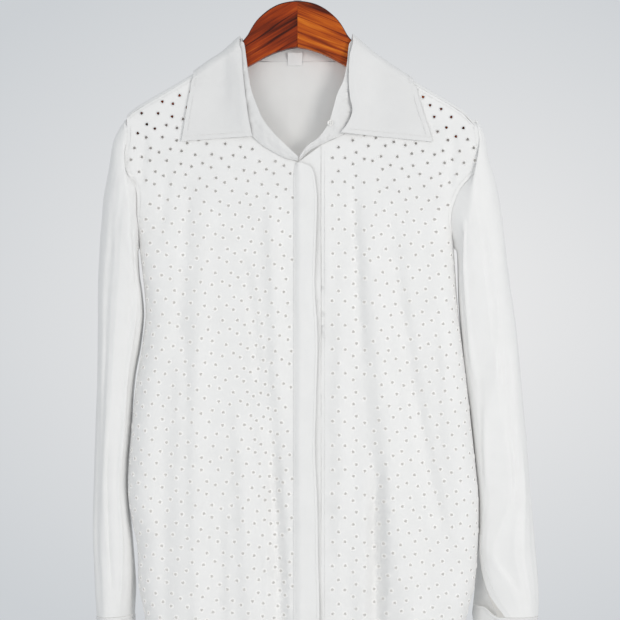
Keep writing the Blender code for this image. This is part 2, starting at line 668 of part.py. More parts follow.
# hook: a wire up from the wood, bent over the rail, with a short tail
def addHook():
    middleDrop = hookBend - hookWire / 2
    path = [(0, archTop - 0.3), (0, middleDrop + 22), (3, middleDrop + 17), (9, middleDrop + 15),
            (15, middleDrop + 12)]
    for turn in range(-35, 196, 15):
        angle = radians(turn)
        path.append((hookBend * cos(angle), middleDrop - hookBend * sin(angle)))
    curve = bpy.data.curves.new("hook", "CURVE")
    curve.dimensions = "3D"
    curve.bevel_depth = hookWire / 2 * 0.001
    curve.bevel_resolution = 2
    curve.use_fill_caps = True
    line = curve.splines.new("POLY")
    line.points.add(len(path) - 1)
    for point, (x, drop) in zip(line.points, path):
        point.co = (x * 0.001, 0, -drop * 0.001, 1)
    curve.materials.append(steel)
    made = bpy.data.objects.new("hook", curve)
    bpy.context.scene.collection.objects.link(made)


addHook()
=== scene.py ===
import random
import bpy
import bmesh
from math import asin, atan, ceil, cos, degrees, hypot, pi, radians, sin, sqrt
from mathutils import Matrix, Vector, noise
from mathutils.geometry import delaunay_2d_cdt


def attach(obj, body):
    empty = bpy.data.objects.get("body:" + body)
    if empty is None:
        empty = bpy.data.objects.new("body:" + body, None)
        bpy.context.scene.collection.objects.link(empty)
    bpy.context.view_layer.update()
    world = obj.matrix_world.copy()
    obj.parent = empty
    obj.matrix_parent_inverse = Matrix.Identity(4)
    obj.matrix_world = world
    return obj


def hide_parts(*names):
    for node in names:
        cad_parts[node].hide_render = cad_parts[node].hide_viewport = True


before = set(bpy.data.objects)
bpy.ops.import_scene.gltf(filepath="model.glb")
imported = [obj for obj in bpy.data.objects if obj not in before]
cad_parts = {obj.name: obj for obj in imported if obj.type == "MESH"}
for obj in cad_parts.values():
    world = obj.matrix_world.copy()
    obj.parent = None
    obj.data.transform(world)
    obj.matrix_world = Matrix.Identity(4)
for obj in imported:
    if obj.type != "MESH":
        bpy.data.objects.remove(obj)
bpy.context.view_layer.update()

# Shapes are worked out in millimetres and written in metres. x runs to the right as seen
# from the front, y to the back, drop is measured down from where a rail bears in the hook.
mm = 0.001
chance = random.Random(7)
scene = bpy.context.scene
print("frame loaded:", len(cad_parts), "nodes")

# camera and light
view = {"across": 713, "middleX": 14.4, "middleDrop": 421.4, "away": 2600, "plane": -12}
lamps = {"key": {"place": (1.7, -2.1, -0.1), "size": 0.9, "power": 24.5, "aim": (0, 0, -0.5),
                 "tint": (1, 0.965, 0.93)},
         "fill": {"place": (-1.3, -2.4, -0.7), "size": 1.6, "power": 14, "aim": (0, 0, -0.55),
                  "tint": (1, 0.97, 0.94)},
         "top": {"place": (0.2, 0.5, 1.7), "size": 1.2, "power": 2.5, "aim": (0, 0, -0.4),
                 "tint": (1, 1, 1)}}


def addCamera():
    made = bpy.data.cameras.new("camera")
    made.sensor_width = 36
    made.angle = 2 * atan(view["across"] / 2 / (view["away"] + view["plane"]))
    made.clip_end = 50
    camera = bpy.data.objects.new("camera", made)
    camera.location = (view["middleX"] * mm, -view["away"] * mm, -view["middleDrop"] * mm)
    camera.rotation_euler = (radians(90), 0, 0)
    scene.collection.objects.link(camera)
    scene.camera = camera


def addLight(name, place, size, power, aim, tint):
    made = bpy.data.lights.new(name, "AREA")
    made.size = size
    made.energy = power
    made.color = tint
    lamp = bpy.data.objects.new(name, made)
    lamp.location = place
    lamp.rotation_euler = (Vector(aim) - Vector(place)).to_track_quat("-Z", "Y").to_euler()
    scene.collection.objects.link(lamp)


addCamera()
for name, lamp in lamps.items():
    addLight(name, **lamp)
scene.view_settings.view_transform = "Standard"
scene.view_settings.look = "None"


# a value in a material, so that shader maths reads as plain maths
class Thread:
    def __init__(self, tree, socket=None):
        self.tree = tree
        self.socket = socket

    # any node: its settings first, then the values or links of its sockets
    def node(self, kind, settings=None, out=0, **given):
        made = self.tree.nodes.new(kind)
        for name, value in (settings or {}).items():
            if name == "stops":
                while len(made.color_ramp.elements) < len(value):
                    made.color_ramp.elements.new(0.5)
                for element, (place, colour) in zip(made.color_ramp.elements, value):
                    element.position = place
                    element.color = (*colour, 1)
            else:
                setattr(made, name, value)
        for name, value in given.items():
            key = int(name[2:]) if name.startswith("at") else name.replace("_", " ")
            self.put(made.inputs[key], value)
        return Thread(self.tree, made.outputs[out])

    def put(self, socket, value):
        if isinstance(value, Thread):
            self.tree.links.new(value.socket, socket)
        else:
            socket.default_value = value

    def math(self, operation, *values):
        return self.node("ShaderNodeMath", {"operation": operation},
                         **{"at%d" % i: value for i, value in enumerate(values)})

    def __add__(self, other):
        return self.math("ADD", self, other)

    def __radd__(self, other):
        return self.math("ADD", other, self)

    def __sub__(self, other):
        return self.math("SUBTRACT", self, other)

    def __rsub__(self, other):
        return self.math("SUBTRACT", other, self)

    def __mul__(self, other):
        return self.math("MULTIPLY", self, other)

    def __rmul__(self, other):
        return self.math("MULTIPLY", other, self)

    def __truediv__(self, other):
        return self.math("DIVIDE", self, other)

    def limit(self):
        return self.math("MINIMUM", self.math("MAXIMUM", self, 0.0), 1.0)

    def noise(self, where, scale, detail=2.0, roughness=0.5):
        return self.node("ShaderNodeTexNoise", Vector=where, Scale=scale, Detail=detail,
                         Roughness=roughness)

    def blend(self, share, first, second):
        mixed = self.tree.nodes.new("ShaderNodeMix")
        mixed.data_type = "RGBA"
        self.put(mixed.inputs["Factor"], share)
        for socket, colour in ((mixed.inputs[6], first), (mixed.inputs[7], second)):
            self.put(socket, colour if isinstance(colour, Thread) else (*colour, 1))
        return Thread(self.tree, mixed.outputs[2])

    def bump(self, height, strength, distance):
        return self.node("ShaderNodeBump", Height=height, Strength=strength, Distance=distance)


def newMaterial(name, **plain):
    made = bpy.data.materials.new(name)
    made.use_nodes = True
    shader = made.node_tree.nodes["Principled BSDF"]
    for key, value in plain.items():
        shader.inputs[key.replace("_", " ")].default_value = value
    return made, Thread(made.node_tree), shader


# the studio's pale wall by the direction it is seen in, with painted light and shade: lightest
# behind the middle of the shirt, where it stays even for a little way, then painted darker up to
# its reach, and dark behind the camera
wall = {"dark": (0.605, 0.63, 0.655), "light": (0.795, 0.797, 0.802), "right": 0.03, "even": 0.04,
        "reach": 0.13, "flatter": 0.5, "behind": -4.0}


def addWall():
    studio = bpy.data.worlds.new("studio")
    scene.world = studio
    studio.use_nodes = True
    flat = Thread(studio.node_tree)
    far = flat.node("ShaderNodeTexCoord")
    x = flat.node("ShaderNodeSeparateXYZ", Vector=far) - wall["right"]
    y = flat.node("ShaderNodeSeparateXYZ", Vector=far, out=1)
    z = flat.node("ShaderNodeSeparateXYZ", Vector=far, out=2)
    away = (flat.math("SQRT", x * x * wall["flatter"] + z * z) - wall["even"]) / wall["reach"]
    away = away + (y * wall["behind"]).limit()
    flat.put(studio.node_tree.nodes["Background"].inputs["Color"],
             flat.blend(away.limit(), wall["light"], wall["dark"]))


addWall()

# cotton: crossed threads on the piece's own map, slubs and a faint unevenness. rimThreads:
# satin stitches round an eyelet. glow: painted light, an emission standing in for daylight
# through the cloth, growing between two drops
cotton = {"tone": (0.835, 0.832, 0.822), "dip": (0.785, 0.783, 0.772), "thread": 0.00062,
          "roughness": 0.86, "slub": 900.0, "cloud": 26.0, "bump": 0.35, "bumpDeep": 0.00014,
          "rimTone": (0.86, 0.858, 0.85), "rimThreads": 22, "rimGloss": 0.26, "glow": 0.2,
          "glowAtNeck": 0.05, "glowTint": (1, 0.99, 0.97), "glowFrom": 200, "glowTo": 320}


def cottonLook(name, tone, dip, glow=0.0, thread=cotton["thread"], rim=False):
    made, flat, shader = newMaterial(name, Specular_IOR_Level=0.22, Sheen_Weight=0.08,
                                     Sheen_Roughness=0.5, Emission_Strength=1.0 if glow else 0.0)
    lay = flat.node("ShaderNodeUVMap", {"uv_map": "cloth"})
    u = flat.node("ShaderNodeSeparateXYZ", Vector=lay)
    v = flat.node("ShaderNodeSeparateXYZ", Vector=lay, out=1)
    turn = 2 * pi / thread
    over = flat.math("SINE", u * turn) * flat.math("SINE", v * turn)
    slub = flat.noise(lay, cotton["slub"], 3.0, 0.6)
    cloud = flat.noise(lay, cotton["cloud"], 3.0, 0.55)
    shade = ((slub - 0.5) * 0.5 + (cloud - 0.5) * 1.3 + over * 0.12 + 0.4).limit()
    colour = flat.blend(shade, tone, dip)
    height = over * 0.35 + slub * 0.8
    if rim:
        raised = flat.node("ShaderNodeAttribute", {"attribute_name": "rim"}, out=2)
        round_ = flat.node("ShaderNodeAttribute", {"attribute_name": "round"}, out=2)
        satin = flat.math("SINE", round_ * (2 * pi * cotton["rimThreads"])) * raised
        colour = flat.blend(raised * 0.5, colour, cotton["rimTone"])
        height = height * (1 - raised) + satin * 1.6
        flat.put(shader.inputs["Roughness"], cotton["roughness"] - raised * cotton["rimGloss"])
    else:
        flat.put(shader.inputs["Roughness"], cotton["roughness"] + (slub - 0.5) * 0.1)
    flat.put(shader.inputs["Base Color"], colour)
    flat.put(shader.inputs["Normal"], flat.bump(height, cotton["bump"], cotton["bumpDeep"]))
    # painted light: the inner side glows, weakly by the neck and more lower down, for daylight
    # through the cloth
    if glow:
        z = flat.node("ShaderNodeSeparateXYZ", Vector=flat.node("ShaderNodeTexCoord", out=3), out=2)
        low = ((z * -1000 - cotton["glowFrom"]) / (cotton["glowTo"] - cotton["glowFrom"])).limit()
        colours = [[share * tint for tint in cotton["glowTint"]]
                   for share in (cotton["glowAtNeck"], glow)]
        flat.put(shader.inputs["Emission Color"], flat.blend(low, *colours))
    return made


eyeletCotton = cottonLook("eyeletCotton", cotton["tone"], cotton["dip"], rim=True)
plainCotton = cottonLook("plainCotton", cotton["tone"], cotton["dip"])
# the collar: the same cotton in a darker tone, painted shade for its upturned, less lit faces
collarCottonPaintedShade = cottonLook("collarCottonPaintedShade", (0.765, 0.763, 0.755), (0.715, 0.713, 0.706))
# inside of the cloth: painted shade, a darker tone than the outside for the shade within the shirt,
# plus the painted glow
innerCottonShadeAndGlow = cottonLook("innerCottonShadeAndGlow", (0.71, 0.706, 0.694), (0.67, 0.665, 0.652),
                         glow=cotton["glow"])
labelSatin = cottonLook("labelSatin", (0.79, 0.787, 0.78), (0.74, 0.738, 0.73), thread=0.0004)
print("cloth materials made")

# the body of the shirt. frontRoll: how far the front's seam lies below the ridge. armGap:
# between a panel and its sleeve. foldShift: moves the front's folds, whose shadows were
# measured, to where the light from the right calls for them. ridge: distance from the centre,
# drop of the cloth on the hanger's arm. edges: drop, left and right edge of a panel, 1 where
# it ends flat and 0 at the side seam. folds: top, foot, x at the top, half way and foot,
# reach at top and foot, height (a trough is below 0)
body = {"hemDrop": 850, "hemRise": 22, "hemHalf": 210, "thick": 0.6, "sideGap": 0.9,
        "shoulderRadius": 9.5, "sideTurn": 26, "frontFill": 20, "backFill": 14,
        "fillFrom": 150, "fillOver": 420, "neckHalf": 77, "tipShort": 0.5,
        "frontRoll": 4.75, "armGap": 0.35, "armLow": 349, "foldShift": 7,
        "ridge": [(0, 92), (58, 106), (66, 111.5), (77, 119), (100, 134), (120, 148), (140, 160.3),
                  (160, 172), (180, 183.5), (192, 192), (202, 202.5), (215, 220)],
        "edges": [(202, 197, 205, 1), (224, 196, 209, 1), (248, 200, 211, 1), (262, 197, 205, 0.98),
                  (283, 186, 187, 0.9), (314, 184.5, 177, 0.62), (349, 182, 180, 0),
                  (421, 175, 185, 0), (458, 178.5, 189.5, 0), (519, 187.5, 196.5, 0),
                  (598, 194.5, 205, 0), (633, 195.5, 208.5, 0), (662, 191.5, 209, 0),
                  (692, 185, 208, 0), (740, 183, 204, 0), (776, 176, 195, 0), (850, 172, 189, 0)]}
frontFolds = [(235, 1000, -93, -110, -98, 17, 19, 5), (480, 1000, -147, -147, -154, 14, 17, -4),
              (270, 560, -24, -19, -12, 13, 14, 4), (470, 1000, -67, -49, -42, 15, 17, 4),
              (510, 960, -27, -15, -9, 13, 16, -10), (350, 740, 57, 57, 60, 15, 16, 3),
              (232, 960, 85, 112, 165, 15, 32, 6), (560, 1000, 97, 97, 97, 13, 19, -13),
              (300, 720, 112, 140, 182, 12, 15, -4),
              (245, 480, -115, -124, -130, 11, 11, -2.4), (240, 400, -140, -150, -160, 9, 9, -2.2),
              (480, 700, -174, -175, -172, 10, 12, 2.4), (340, 520, -59, -44, -36, 9, 9, -2.2),
              (600, 800, -81, -81, -80, 10, 11, -2.6), (245, 500, 71, 75, 82, 9, 9, -2.6),
              (375, 620, 172, 176, 182, 9, 11, 2), (205, 330, -168, -172, -176, 7, 9, -2.4),
              (196, 300, -182, -184, -180, 5, 7, 1.6), (205, 300, 186, 184, 178, 7, 8, -2.2),
              (240, 420, 34, 38, 42, 8, 9, 1.6), (430, 860, -128, -126, -124, 9, 12, 2),
              (520, 860, 132, 140, 150, 12, 16, 1.6), (620, 900, 60, 66, 72, 11, 14, -2.2)]
backFolds = [(250, 1000, -140, -146, -150, 24, 28, 5), (330, 1000, -95, -98, -102, 22, 26, -5),
             (240, 1000, -45, -48, -52, 26, 28, 5), (300, 1000, 5, 8, 10, 22, 26, -5),
             (260, 1000, 52, 57, 62, 25, 28, 5), (380, 1000, 105, 107, 108, 22, 26, -5),
             (280, 1000, 150, 156, 160, 22, 26, 5),
             (220, 420, -120, -108, -96, 9, 12, -1.8), (215, 380, 96, 108, 124, 9, 12, -1.8),
             (420, 760, -20, -18, -24, 10, 14, 1.8), (460, 900, 78, 82, 90, 11, 14, 1.8),
             (200, 330, -172, -168, -160, 8, 10, -2), (200, 330, 170, 166, 158, 8, 10, -2)]


# smooth value of one column of a table whose rows start with their key
def tableValue(rows, column, at):
    if at <= rows[0][0]:
        return rows[0][column]
    if at >= rows[-1][0]:
        return rows[-1][column]
    i = 0
    while rows[i + 1][0] <= at:
        i += 1
    slopes = []
    for k in (i, i + 1):
        low, high = max(k - 1, 0), min(k + 1, len(rows) - 1)
        slopes.append((rows[high][column] - rows[low][column]) / (rows[high][0] - rows[low][0]))
    step = rows[i + 1][0] - rows[i][0]
    t = (at - rows[i][0]) / step
    return ((2 * t**3 - 3 * t**2 + 1) * rows[i][column] + (t**3 - 2 * t**2 + t) * step * slopes[0]
            + (3 * t**2 - 2 * t**3) * rows[i + 1][column] + (t**3 - t**2) * step * slopes[1])


def ridgeDrop(x):
    return tableValue(body["ridge"], 1, abs(x))


def soft(t):
    t = min(max(t, 0), 1)
    return t * t * (3 - 2 * t)


def foldHeight(folds, x, drop):
    height = 0
    for top, foot, topX, midX, footX, topReach, footReach, out in folds:
        along = (drop - top) / (foot - top)
        if not 0 < along < 1:
            continue
        early, late = (1 - along) * (1 - 2 * along), along * (2 * along - 1)
        middle = topX * early + footX * late + midX * 4 * along * (1 - along)
        across = abs(x - middle) / (topReach + (footReach - topReach) * along)
        if across < 1:
            ends = soft(along * 3.5) * soft((1 - along) * 5)
            height += out * ends * (0.5 + 0.5 * cos(pi * across))
    return height


# the slight unevenness of worn cotton, longer down the cloth than across it
def uneven(x, drop, seed, across=20, down=55, much=0.8):
    broad = noise.noise(Vector((x / across, drop / down, seed)))
    fine = noise.noise(Vector((x / across * 2.7, drop / down * 2.4, seed + 9)))
    return much * (broad + 0.45 * fine)


# how far the cloth stands from y = 0, in front (face -1) or behind (face 1)
def bodyDepth(x, drop, face):
    below = drop - ridgeDrop(x)
    bend = 1 - min(max(below / body["shoulderRadius"], 0), 1)
    depth = body["shoulderRadius"] * sqrt(1 - bend * bend)
    fill = body["frontFill"] if face < 0 else body["backFill"]
    depth += fill * soft((drop - body["fillFrom"]) / body["fillOver"])
    depth += uneven(x, drop, 3 if face < 0 else 8) * soft((below - 6) / 30)
    if face > 0:
        return depth + foldHeight(backFolds, x, drop)
    return depth + foldHeight(frontFolds, x + body["foldShift"], drop)


# where a panel's edge is, at its two sides
def edgeAt(side, drop):
    return tableValue(body["edges"], 1 if side < 0 else 2, drop)


# where the flat part of a panel ends, the cloth in its rounded side, its depth and turn
def sideBend(side, drop, face):
    x = edgeAt(side, drop)
    turned = asin(min(max(tableValue(body["edges"], 3, drop), 0), 1))
    flatEnd = x - body["sideTurn"] * cos(turned)
    depth = bodyDepth(side * flatEnd, drop, face)
    return flatEnd, (pi / 2 - turned) * (body["sideTurn"] + depth) / 2, depth, turned


def clothHalf(side, drop, face):
    flatEnd, bend, depth, turned = sideBend(side, drop, face)
    return flatEnd + bend


# a point of the front or back at a distance along the cloth from the centre line
def bodyPoint(s, drop, face, out=0):
    side = -1 if s < 0 else 1
    flatEnd, bend, depth, turned = sideBend(side, drop, face)
    if abs(s) <= flatEnd or bend < 0.01:
        return Vector((s, face * (bodyDepth(s, drop, face) + out), -drop))
    angle = pi / 2 - (abs(s) - flatEnd) / bend * (pi / 2 - turned)
    return Vector((side * (flatEnd + (body["sideTurn"] + out) * cos(angle)),
                   face * (depth + out) * sin(angle), -drop))


def hemDropAt(s):
    return body["hemDrop"] - body["hemRise"] * soft(abs(s) / body["hemHalf"])


armTop, armLow = body["edges"][0][0], body["armLow"]
hemSide = body["hemDrop"] - body["hemRise"]


# the drop of a place on the armhole, by its turn from the top
def armDrop(turn):
    return (armTop + armLow) / 2 - (armLow - armTop) / 2 * cos(turn)


# an object from a bmesh, which is freed
def newPiece(name, bm, *looks):
    mesh = bpy.data.meshes.new(name)
    bm.to_mesh(mesh)
    bm.free()
    for look in looks:
        mesh.materials.append(look)
    made = bpy.data.objects.new(name, mesh)
    scene.collection.objects.link(made)
    return made


# the piece's mesh becomes what its modifiers make of it
def applyModifiers(made):
    depsgraph = bpy.context.evaluated_depsgraph_get()
    finished = bpy.data.meshes.new_from_object(made.evaluated_get(depsgraph))
    made.modifiers.clear()
    made.data = finished
    return finished


# a thin shell of cloth on the given points: lays holds each point's place on the flat cloth,
# outward tells which way is out at a face's centre, marks are values kept at the points, and
# rounds hold how far round its eyelet each corner of a face lies
def clothPiece(name, points, faces, lays, outward, looks, thick=body["thick"], marks=None,
               rounds=None):
    bm = bmesh.new()
    flatLay = bm.loops.layers.uv.new("cloth")
    keptMarks = bm.verts.layers.float.new("rim") if marks else None
    keptRounds = bm.loops.layers.float.new("round") if rounds else None
    verts = [bm.verts.new(point * mm) for point in points]
    for number, corners in enumerate(faces):
        if len(set(corners)) < 3:
            continue
        face = bm.faces.new([verts[i] for i in corners])
        face.smooth = True
        for place, (loop, i) in enumerate(zip(face.loops, corners)):
            loop[flatLay].uv = (lays[i][0] * mm, lays[i][1] * mm)
            if rounds and number in rounds:
                loop[keptRounds] = rounds[number][place]
    if marks:
        for i, value in marks.items():
            verts[i][keptMarks] = value
    bmesh.ops.delete(bm, geom=[v for v in bm.verts if not v.link_faces], context="VERTS")
    bm.normal_update()
    facing = sum(face.normal.dot(outward(face.calc_center_median() / mm)) for face in bm.faces)
    if facing < 0:
        bmesh.ops.reverse_faces(bm, faces=bm.faces)
    made = newPiece(name, bm, *looks)
    shell = made.modifiers.new("shell", "SOLIDIFY")
    shell.thickness = thick * mm
    shell.offset = 0
    shell.material_offset = len(looks) - 1
    scene.view_layers[0].update()
    applyModifiers(made).set_sharp_from_angle(angle=radians(78))
    return made


def seat(made, slot, *nodes):
    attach(made, "root")
    if nodes:
        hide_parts(*nodes)
    return made


def netFaces(rows, columns, keep=lambda row, column: True, closed=False):
    return [(r * columns + c, r * columns + (c + 1) % columns,
             (r + 1) * columns + (c + 1) % columns, (r + 1) * columns + c)
            for r in range(rows - 1) for c in range(columns if closed else columns - 1)
            if keep(r, c)]


# the cloth's area, of one side of its wall
def flatArea(made):
    return sum(face.area for face in made.data.polygons) / 2


# the cutwork fronts. holes: place in the repeat and the way the tip points, in degrees.
# neck: x and drop of the seam under the collar, from the shoulder to the centre.
# lays: how the repeats hang. Each holds where it starts and ends in x, the x and drop of one
# repeat, its spacing down, its width beside the flat cloth's, how much it drops for each mm to
# the right, how much less it leans a repeat further right, and drop and x of the line that it
# leans along. apart: mm between rims, from a rim to the edge, and from both to the net
front = {"net": 5.0, "netTop": 110, "hole": 1.85, "rimTop": 0.75, "rimFoot": 1.65, "rimHigh": 0.45,
         "sides": 12, "cell": 8, "rimsApart": 0.8, "edgeApart": 1.2, "netApart": 2.0,
         "netEdge": 3.2,
         "repeat": 75.9, "repeatHigh": 27.5, "stray": 0.4, "strayTurn": 14,
         "holes": [(0, 0, 90), (-7.25, 11.5, 210), (7.25, 11.5, 330), (-20.8, 5.2, 20),
                   (20.8, 5.2, 160), (-17.1, 19, 70), (17.1, 19, 110), (37.95, 24.15, 270),
                   (30.7, 12.65, 150), (45.2, 12.65, 30)],
         "right": {"name": "frontRight", "node": "front_right", "inner": -0.8,
                   "lays": [{"from": -260, "to": 0, "x": -107.6, "drop": 297.5, "high": 27.25,
                             "wide": 0.90, "tilt": -0.29, "ease": 0.5,
                             "line": [(100, -34), (215, -15), (297, 0), (406, 18), (570, 44),
                                      (715, 76), (778, 88), (850, 102)]}],
                   "neck": [(-77, 124.5), (-77, 145), (-76, 165), (-70.7, 191), (-61.5, 212),
                            (-52, 222.4), (-37.6, 234), (-14.7, 246.6), (-1, 250.5)]},
         "left": {"name": "frontLeft", "node": "front_left", "inner": 27.2,
                  "lays": [{"from": 0, "to": 78.5, "x": 47.2, "drop": 289.7, "high": 27.5,
                            "wide": 0.97, "tilt": 0.01, "ease": 0, "line": [(100, 0), (850, 0)]},
                           {"from": 78.5, "to": 270, "x": 108, "drop": 298.5, "high": 26.5,
                            "wide": 0.93, "tilt": 0.28, "ease": 0,
                            "line": [(100, 30), (215, 11.4), (298, 0), (405, -14), (575, -39),
                                     (710, -65), (778, -79), (850, -95)]}],
                  "neck": [(77, 124.5), (77, 145), (75, 165), (70, 188), (63, 206),
                           (54.6, 219), (42, 225), (27.4, 231)]}}


def holePlaces(made):
    places = []
    for lay in made["lays"]:
        slant = degrees(atan(lay["tilt"]))
        for column in range(-5, 6):
            for row in range(-14, 26):
                for shiftX, shiftDrop, tip in front["holes"]:
                    across = (column * front["repeat"] + shiftX) * lay["wide"]
                    down = (row + shiftDrop / front["repeatHigh"]) * lay["high"]
                    drop = lay["drop"] + down + across * lay["tilt"]
                    eased = 1 - lay["ease"] * soft(across / front["repeat"])
                    x = lay["x"] + across + tableValue(lay["line"], 1, drop) * eased
                    if 100 < drop < 860 and lay["from"] + 1.2 < x < lay["to"] - 1.2:
                        x += chance.uniform(-front["stray"], front["stray"])
                        drop += chance.uniform(-front["stray"], front["stray"])
                        turned = chance.uniform(-front["strayTurn"], front["strayTurn"])
                        places.append((x, drop, radians(tip - slant + turned)))
    return places


# a line through the points with no step longer than the given one
def evenSteps(points, step):
    line = []
    for first, second in zip(points, points[1:]):
        pieces = max(1, ceil((second - first).length / step))
        line += [first.lerp(second, k / pieces) for k in range(pieces)]
    return line + [points[-1]]


# the front's outline on the flat cloth: neck, shoulder, armhole, side seam and hem
def frontOutline(side, made):
    inner = made["inner"]
    neck = [Vector(place) for place in reversed(made["neck"])]
    neck[0].y += 0.4
    tip = edgeAt(side, armTop) - body["tipShort"]
    shoulder = [Vector((side * away, ridgeDrop(away) + body["frontRoll"])) for away in
                (90, 105, 122, 140, 158, 176, 190, tip)]
    drops = [armDrop(pi * k / 48) for k in range(5, 49)]
    drops += list(range(armLow + 8, hemSide - 4, 8)) + [hemSide]
    seam = [Vector((side * (clothHalf(side, drop, -1) - body["sideGap"] / 2), drop))
            for drop in drops]
    reach = seam[-1].x
    hem = [Vector((reach + (inner - reach) * k / 36, 0)) for k in range(1, 37)]
    for point in hem:
        point.y = hemDropAt(point.x)
    return evenSteps([hem[-1]] + neck + shoulder, 5.0) + seam + hem[:-1]


def insideOutline(x, drop, outline):
    inside = False
    for first, second in zip(outline, outline[1:] + outline[:1]):
        if (first.y > drop) != (second.y > drop):
            if x < (second.x - first.x) * (drop - first.y) / (second.y - first.y) + first.x:
                inside = not inside
    return inside


# true when no point in the cells lies closer than the limit
def clearOf(point, cells, limit):
    column, row = int(point.x // front["cell"]), int(point.y // front["cell"])
    for c in range(column - 1, column + 2):
        for r in range(row - 1, row + 2):
            for other in cells.get((c, r), ()):
                if (other - point).length < limit:
                    return False
    return True


def keepIn(cells, point):
    cell = (int(point.x // front["cell"]), int(point.y // front["cell"]))
    cells.setdefault(cell, []).append(point)


# rounded drop shape of a hole: its reach in a direction
def holeReach(turn, tip):
    away = turn - tip
    return front["hole"] * (0.93 + 0.10 * cos(3 * away) + 0.12 * cos(away))


def addFront(side, made):
    outline = frontOutline(side, made)
    edgeCells, holeCells = {}, {}
    for point in outline:
        keepIn(edgeCells, point)
    footReach = front["hole"] + front["rimFoot"]
    holes = []
    for place in holePlaces(made):
        point = Vector(place[:2])
        if (insideOutline(point.x, point.y, outline)
                and clearOf(point, edgeCells, footReach + front["edgeApart"])
                and clearOf(point, holeCells, 2 * footReach + front["rimsApart"])):
            holes.append(place)
            keepIn(holeCells, point)

    # the flat cloth: its outline, the foot of each rim and an even net between them
    points = list(outline)
    loops = [list(range(len(outline)))]
    for x, drop, tip in holes:
        start = len(points)
        for k in range(front["sides"]):
            turn = 2 * pi * k / front["sides"]
            points.append(Vector((x + footReach * cos(turn), drop - footReach * sin(turn))))
        loops.append(list(range(start, start + front["sides"])))
    lowS, highS = min(p.x for p in outline), max(p.x for p in outline)
    rows = int((body["hemDrop"] - front["netTop"]) / (front["net"] * 0.866)) + 1
    for row in range(rows):
        for column in range(int((highS - lowS) / front["net"]) + 2):
            point = Vector((lowS + front["net"] * (column + (0.5 if row % 2 else 0)),
                            front["netTop"] + row * front["net"] * 0.866))
            if (clearOf(point, edgeCells, front["netEdge"])
                    and clearOf(point, holeCells, footReach + front["netApart"])
                    and insideOutline(point.x, point.y, outline)):
                points.append(point)
    pairs = [pair for loop in loops for pair in zip(loop, loop[1:] + loop[:1])]
    joined = delaunay_2d_cdt(points, pairs, [], 0, 1e-5)
    flat, triangles, origins = joined[0], joined[2], joined[3]
    holeOf = {}
    for i, sources in enumerate(origins):
        for source in sources:
            if len(outline) <= source < len(outline) + len(holes) * front["sides"]:
                holeOf[i] = (source - len(outline)) // front["sides"]
    faces = []
    for triangle in triangles:
        owners = {holeOf.get(i, -1 - i) for i in triangle}
        middle = sum((flat[i] for i in triangle), Vector((0, 0))) / 3
        if len(owners) > 1 and insideOutline(middle.x, middle.y, outline):
            faces.append(tuple(triangle))

    # the rims, raised from their foot and turned down into the hole
    byFoot = {source: i for i, sources in enumerate(origins) for source in sources}
    lays = [(p.x, p.y) for p in flat]
    solid = [bodyPoint(p.x, p.y, -1) for p in flat]
    marks, rounds = {}, {}
    for number, (x, drop, tip) in enumerate(holes):
        sides = front["sides"]
        foot = [byFoot[len(outline) + number * sides + k] for k in range(sides)]
        rings = [foot]
        for more, high, mark in ((front["rimTop"], front["rimHigh"], 1.0), (0.0, 0.1, 0.8)):
            ring = []
            for k in range(sides):
                turn = 2 * pi * k / sides
                reach = holeReach(turn, tip) + more
                s, low = x + reach * cos(turn), drop - reach * sin(turn)
                ring.append(len(solid))
                lays.append((s, low))
                solid.append(bodyPoint(s, low, -1, high))
                marks[ring[-1]] = mark
            rings.append(ring)
        for first, second in zip(rings, rings[1:]):
            for k in range(sides):
                after = (k + 1) % sides
                rounds[len(faces)] = (k / sides, (k + 1) / sides, (k + 1) / sides, k / sides)
                faces.append((first[k], first[after], second[after], second[k]))
    piece = clothPiece(made["name"], solid, faces, lays, lambda centre: Vector((0, -1, 0)),
                       [eyeletCotton, innerCottonShadeAndGlow], marks=marks, rounds=rounds)
    seat(piece, "eyelet_cotton", made["node"])
    print(made["name"], len(holes), "eyelets", len(piece.data.polygons), "faces")


addFront(-1, front["right"])
addFront(1, front["left"])

# the back: rolled a little forward over each shoulder, with the neck seam between. rolls: the
# turns of its rows over the shoulder. neckShare: where the neck ends. neckSunk: how far its
# seam lies below the ridge
back = {"across": 84, "down": 110, "rolls": (-58, -42, -26, -10, 6, 20, 35, 50, 65),
        "neckShare": 0.385, "neckSunk": 5.4, "neckSteep": 2.2, "early": 0.35}


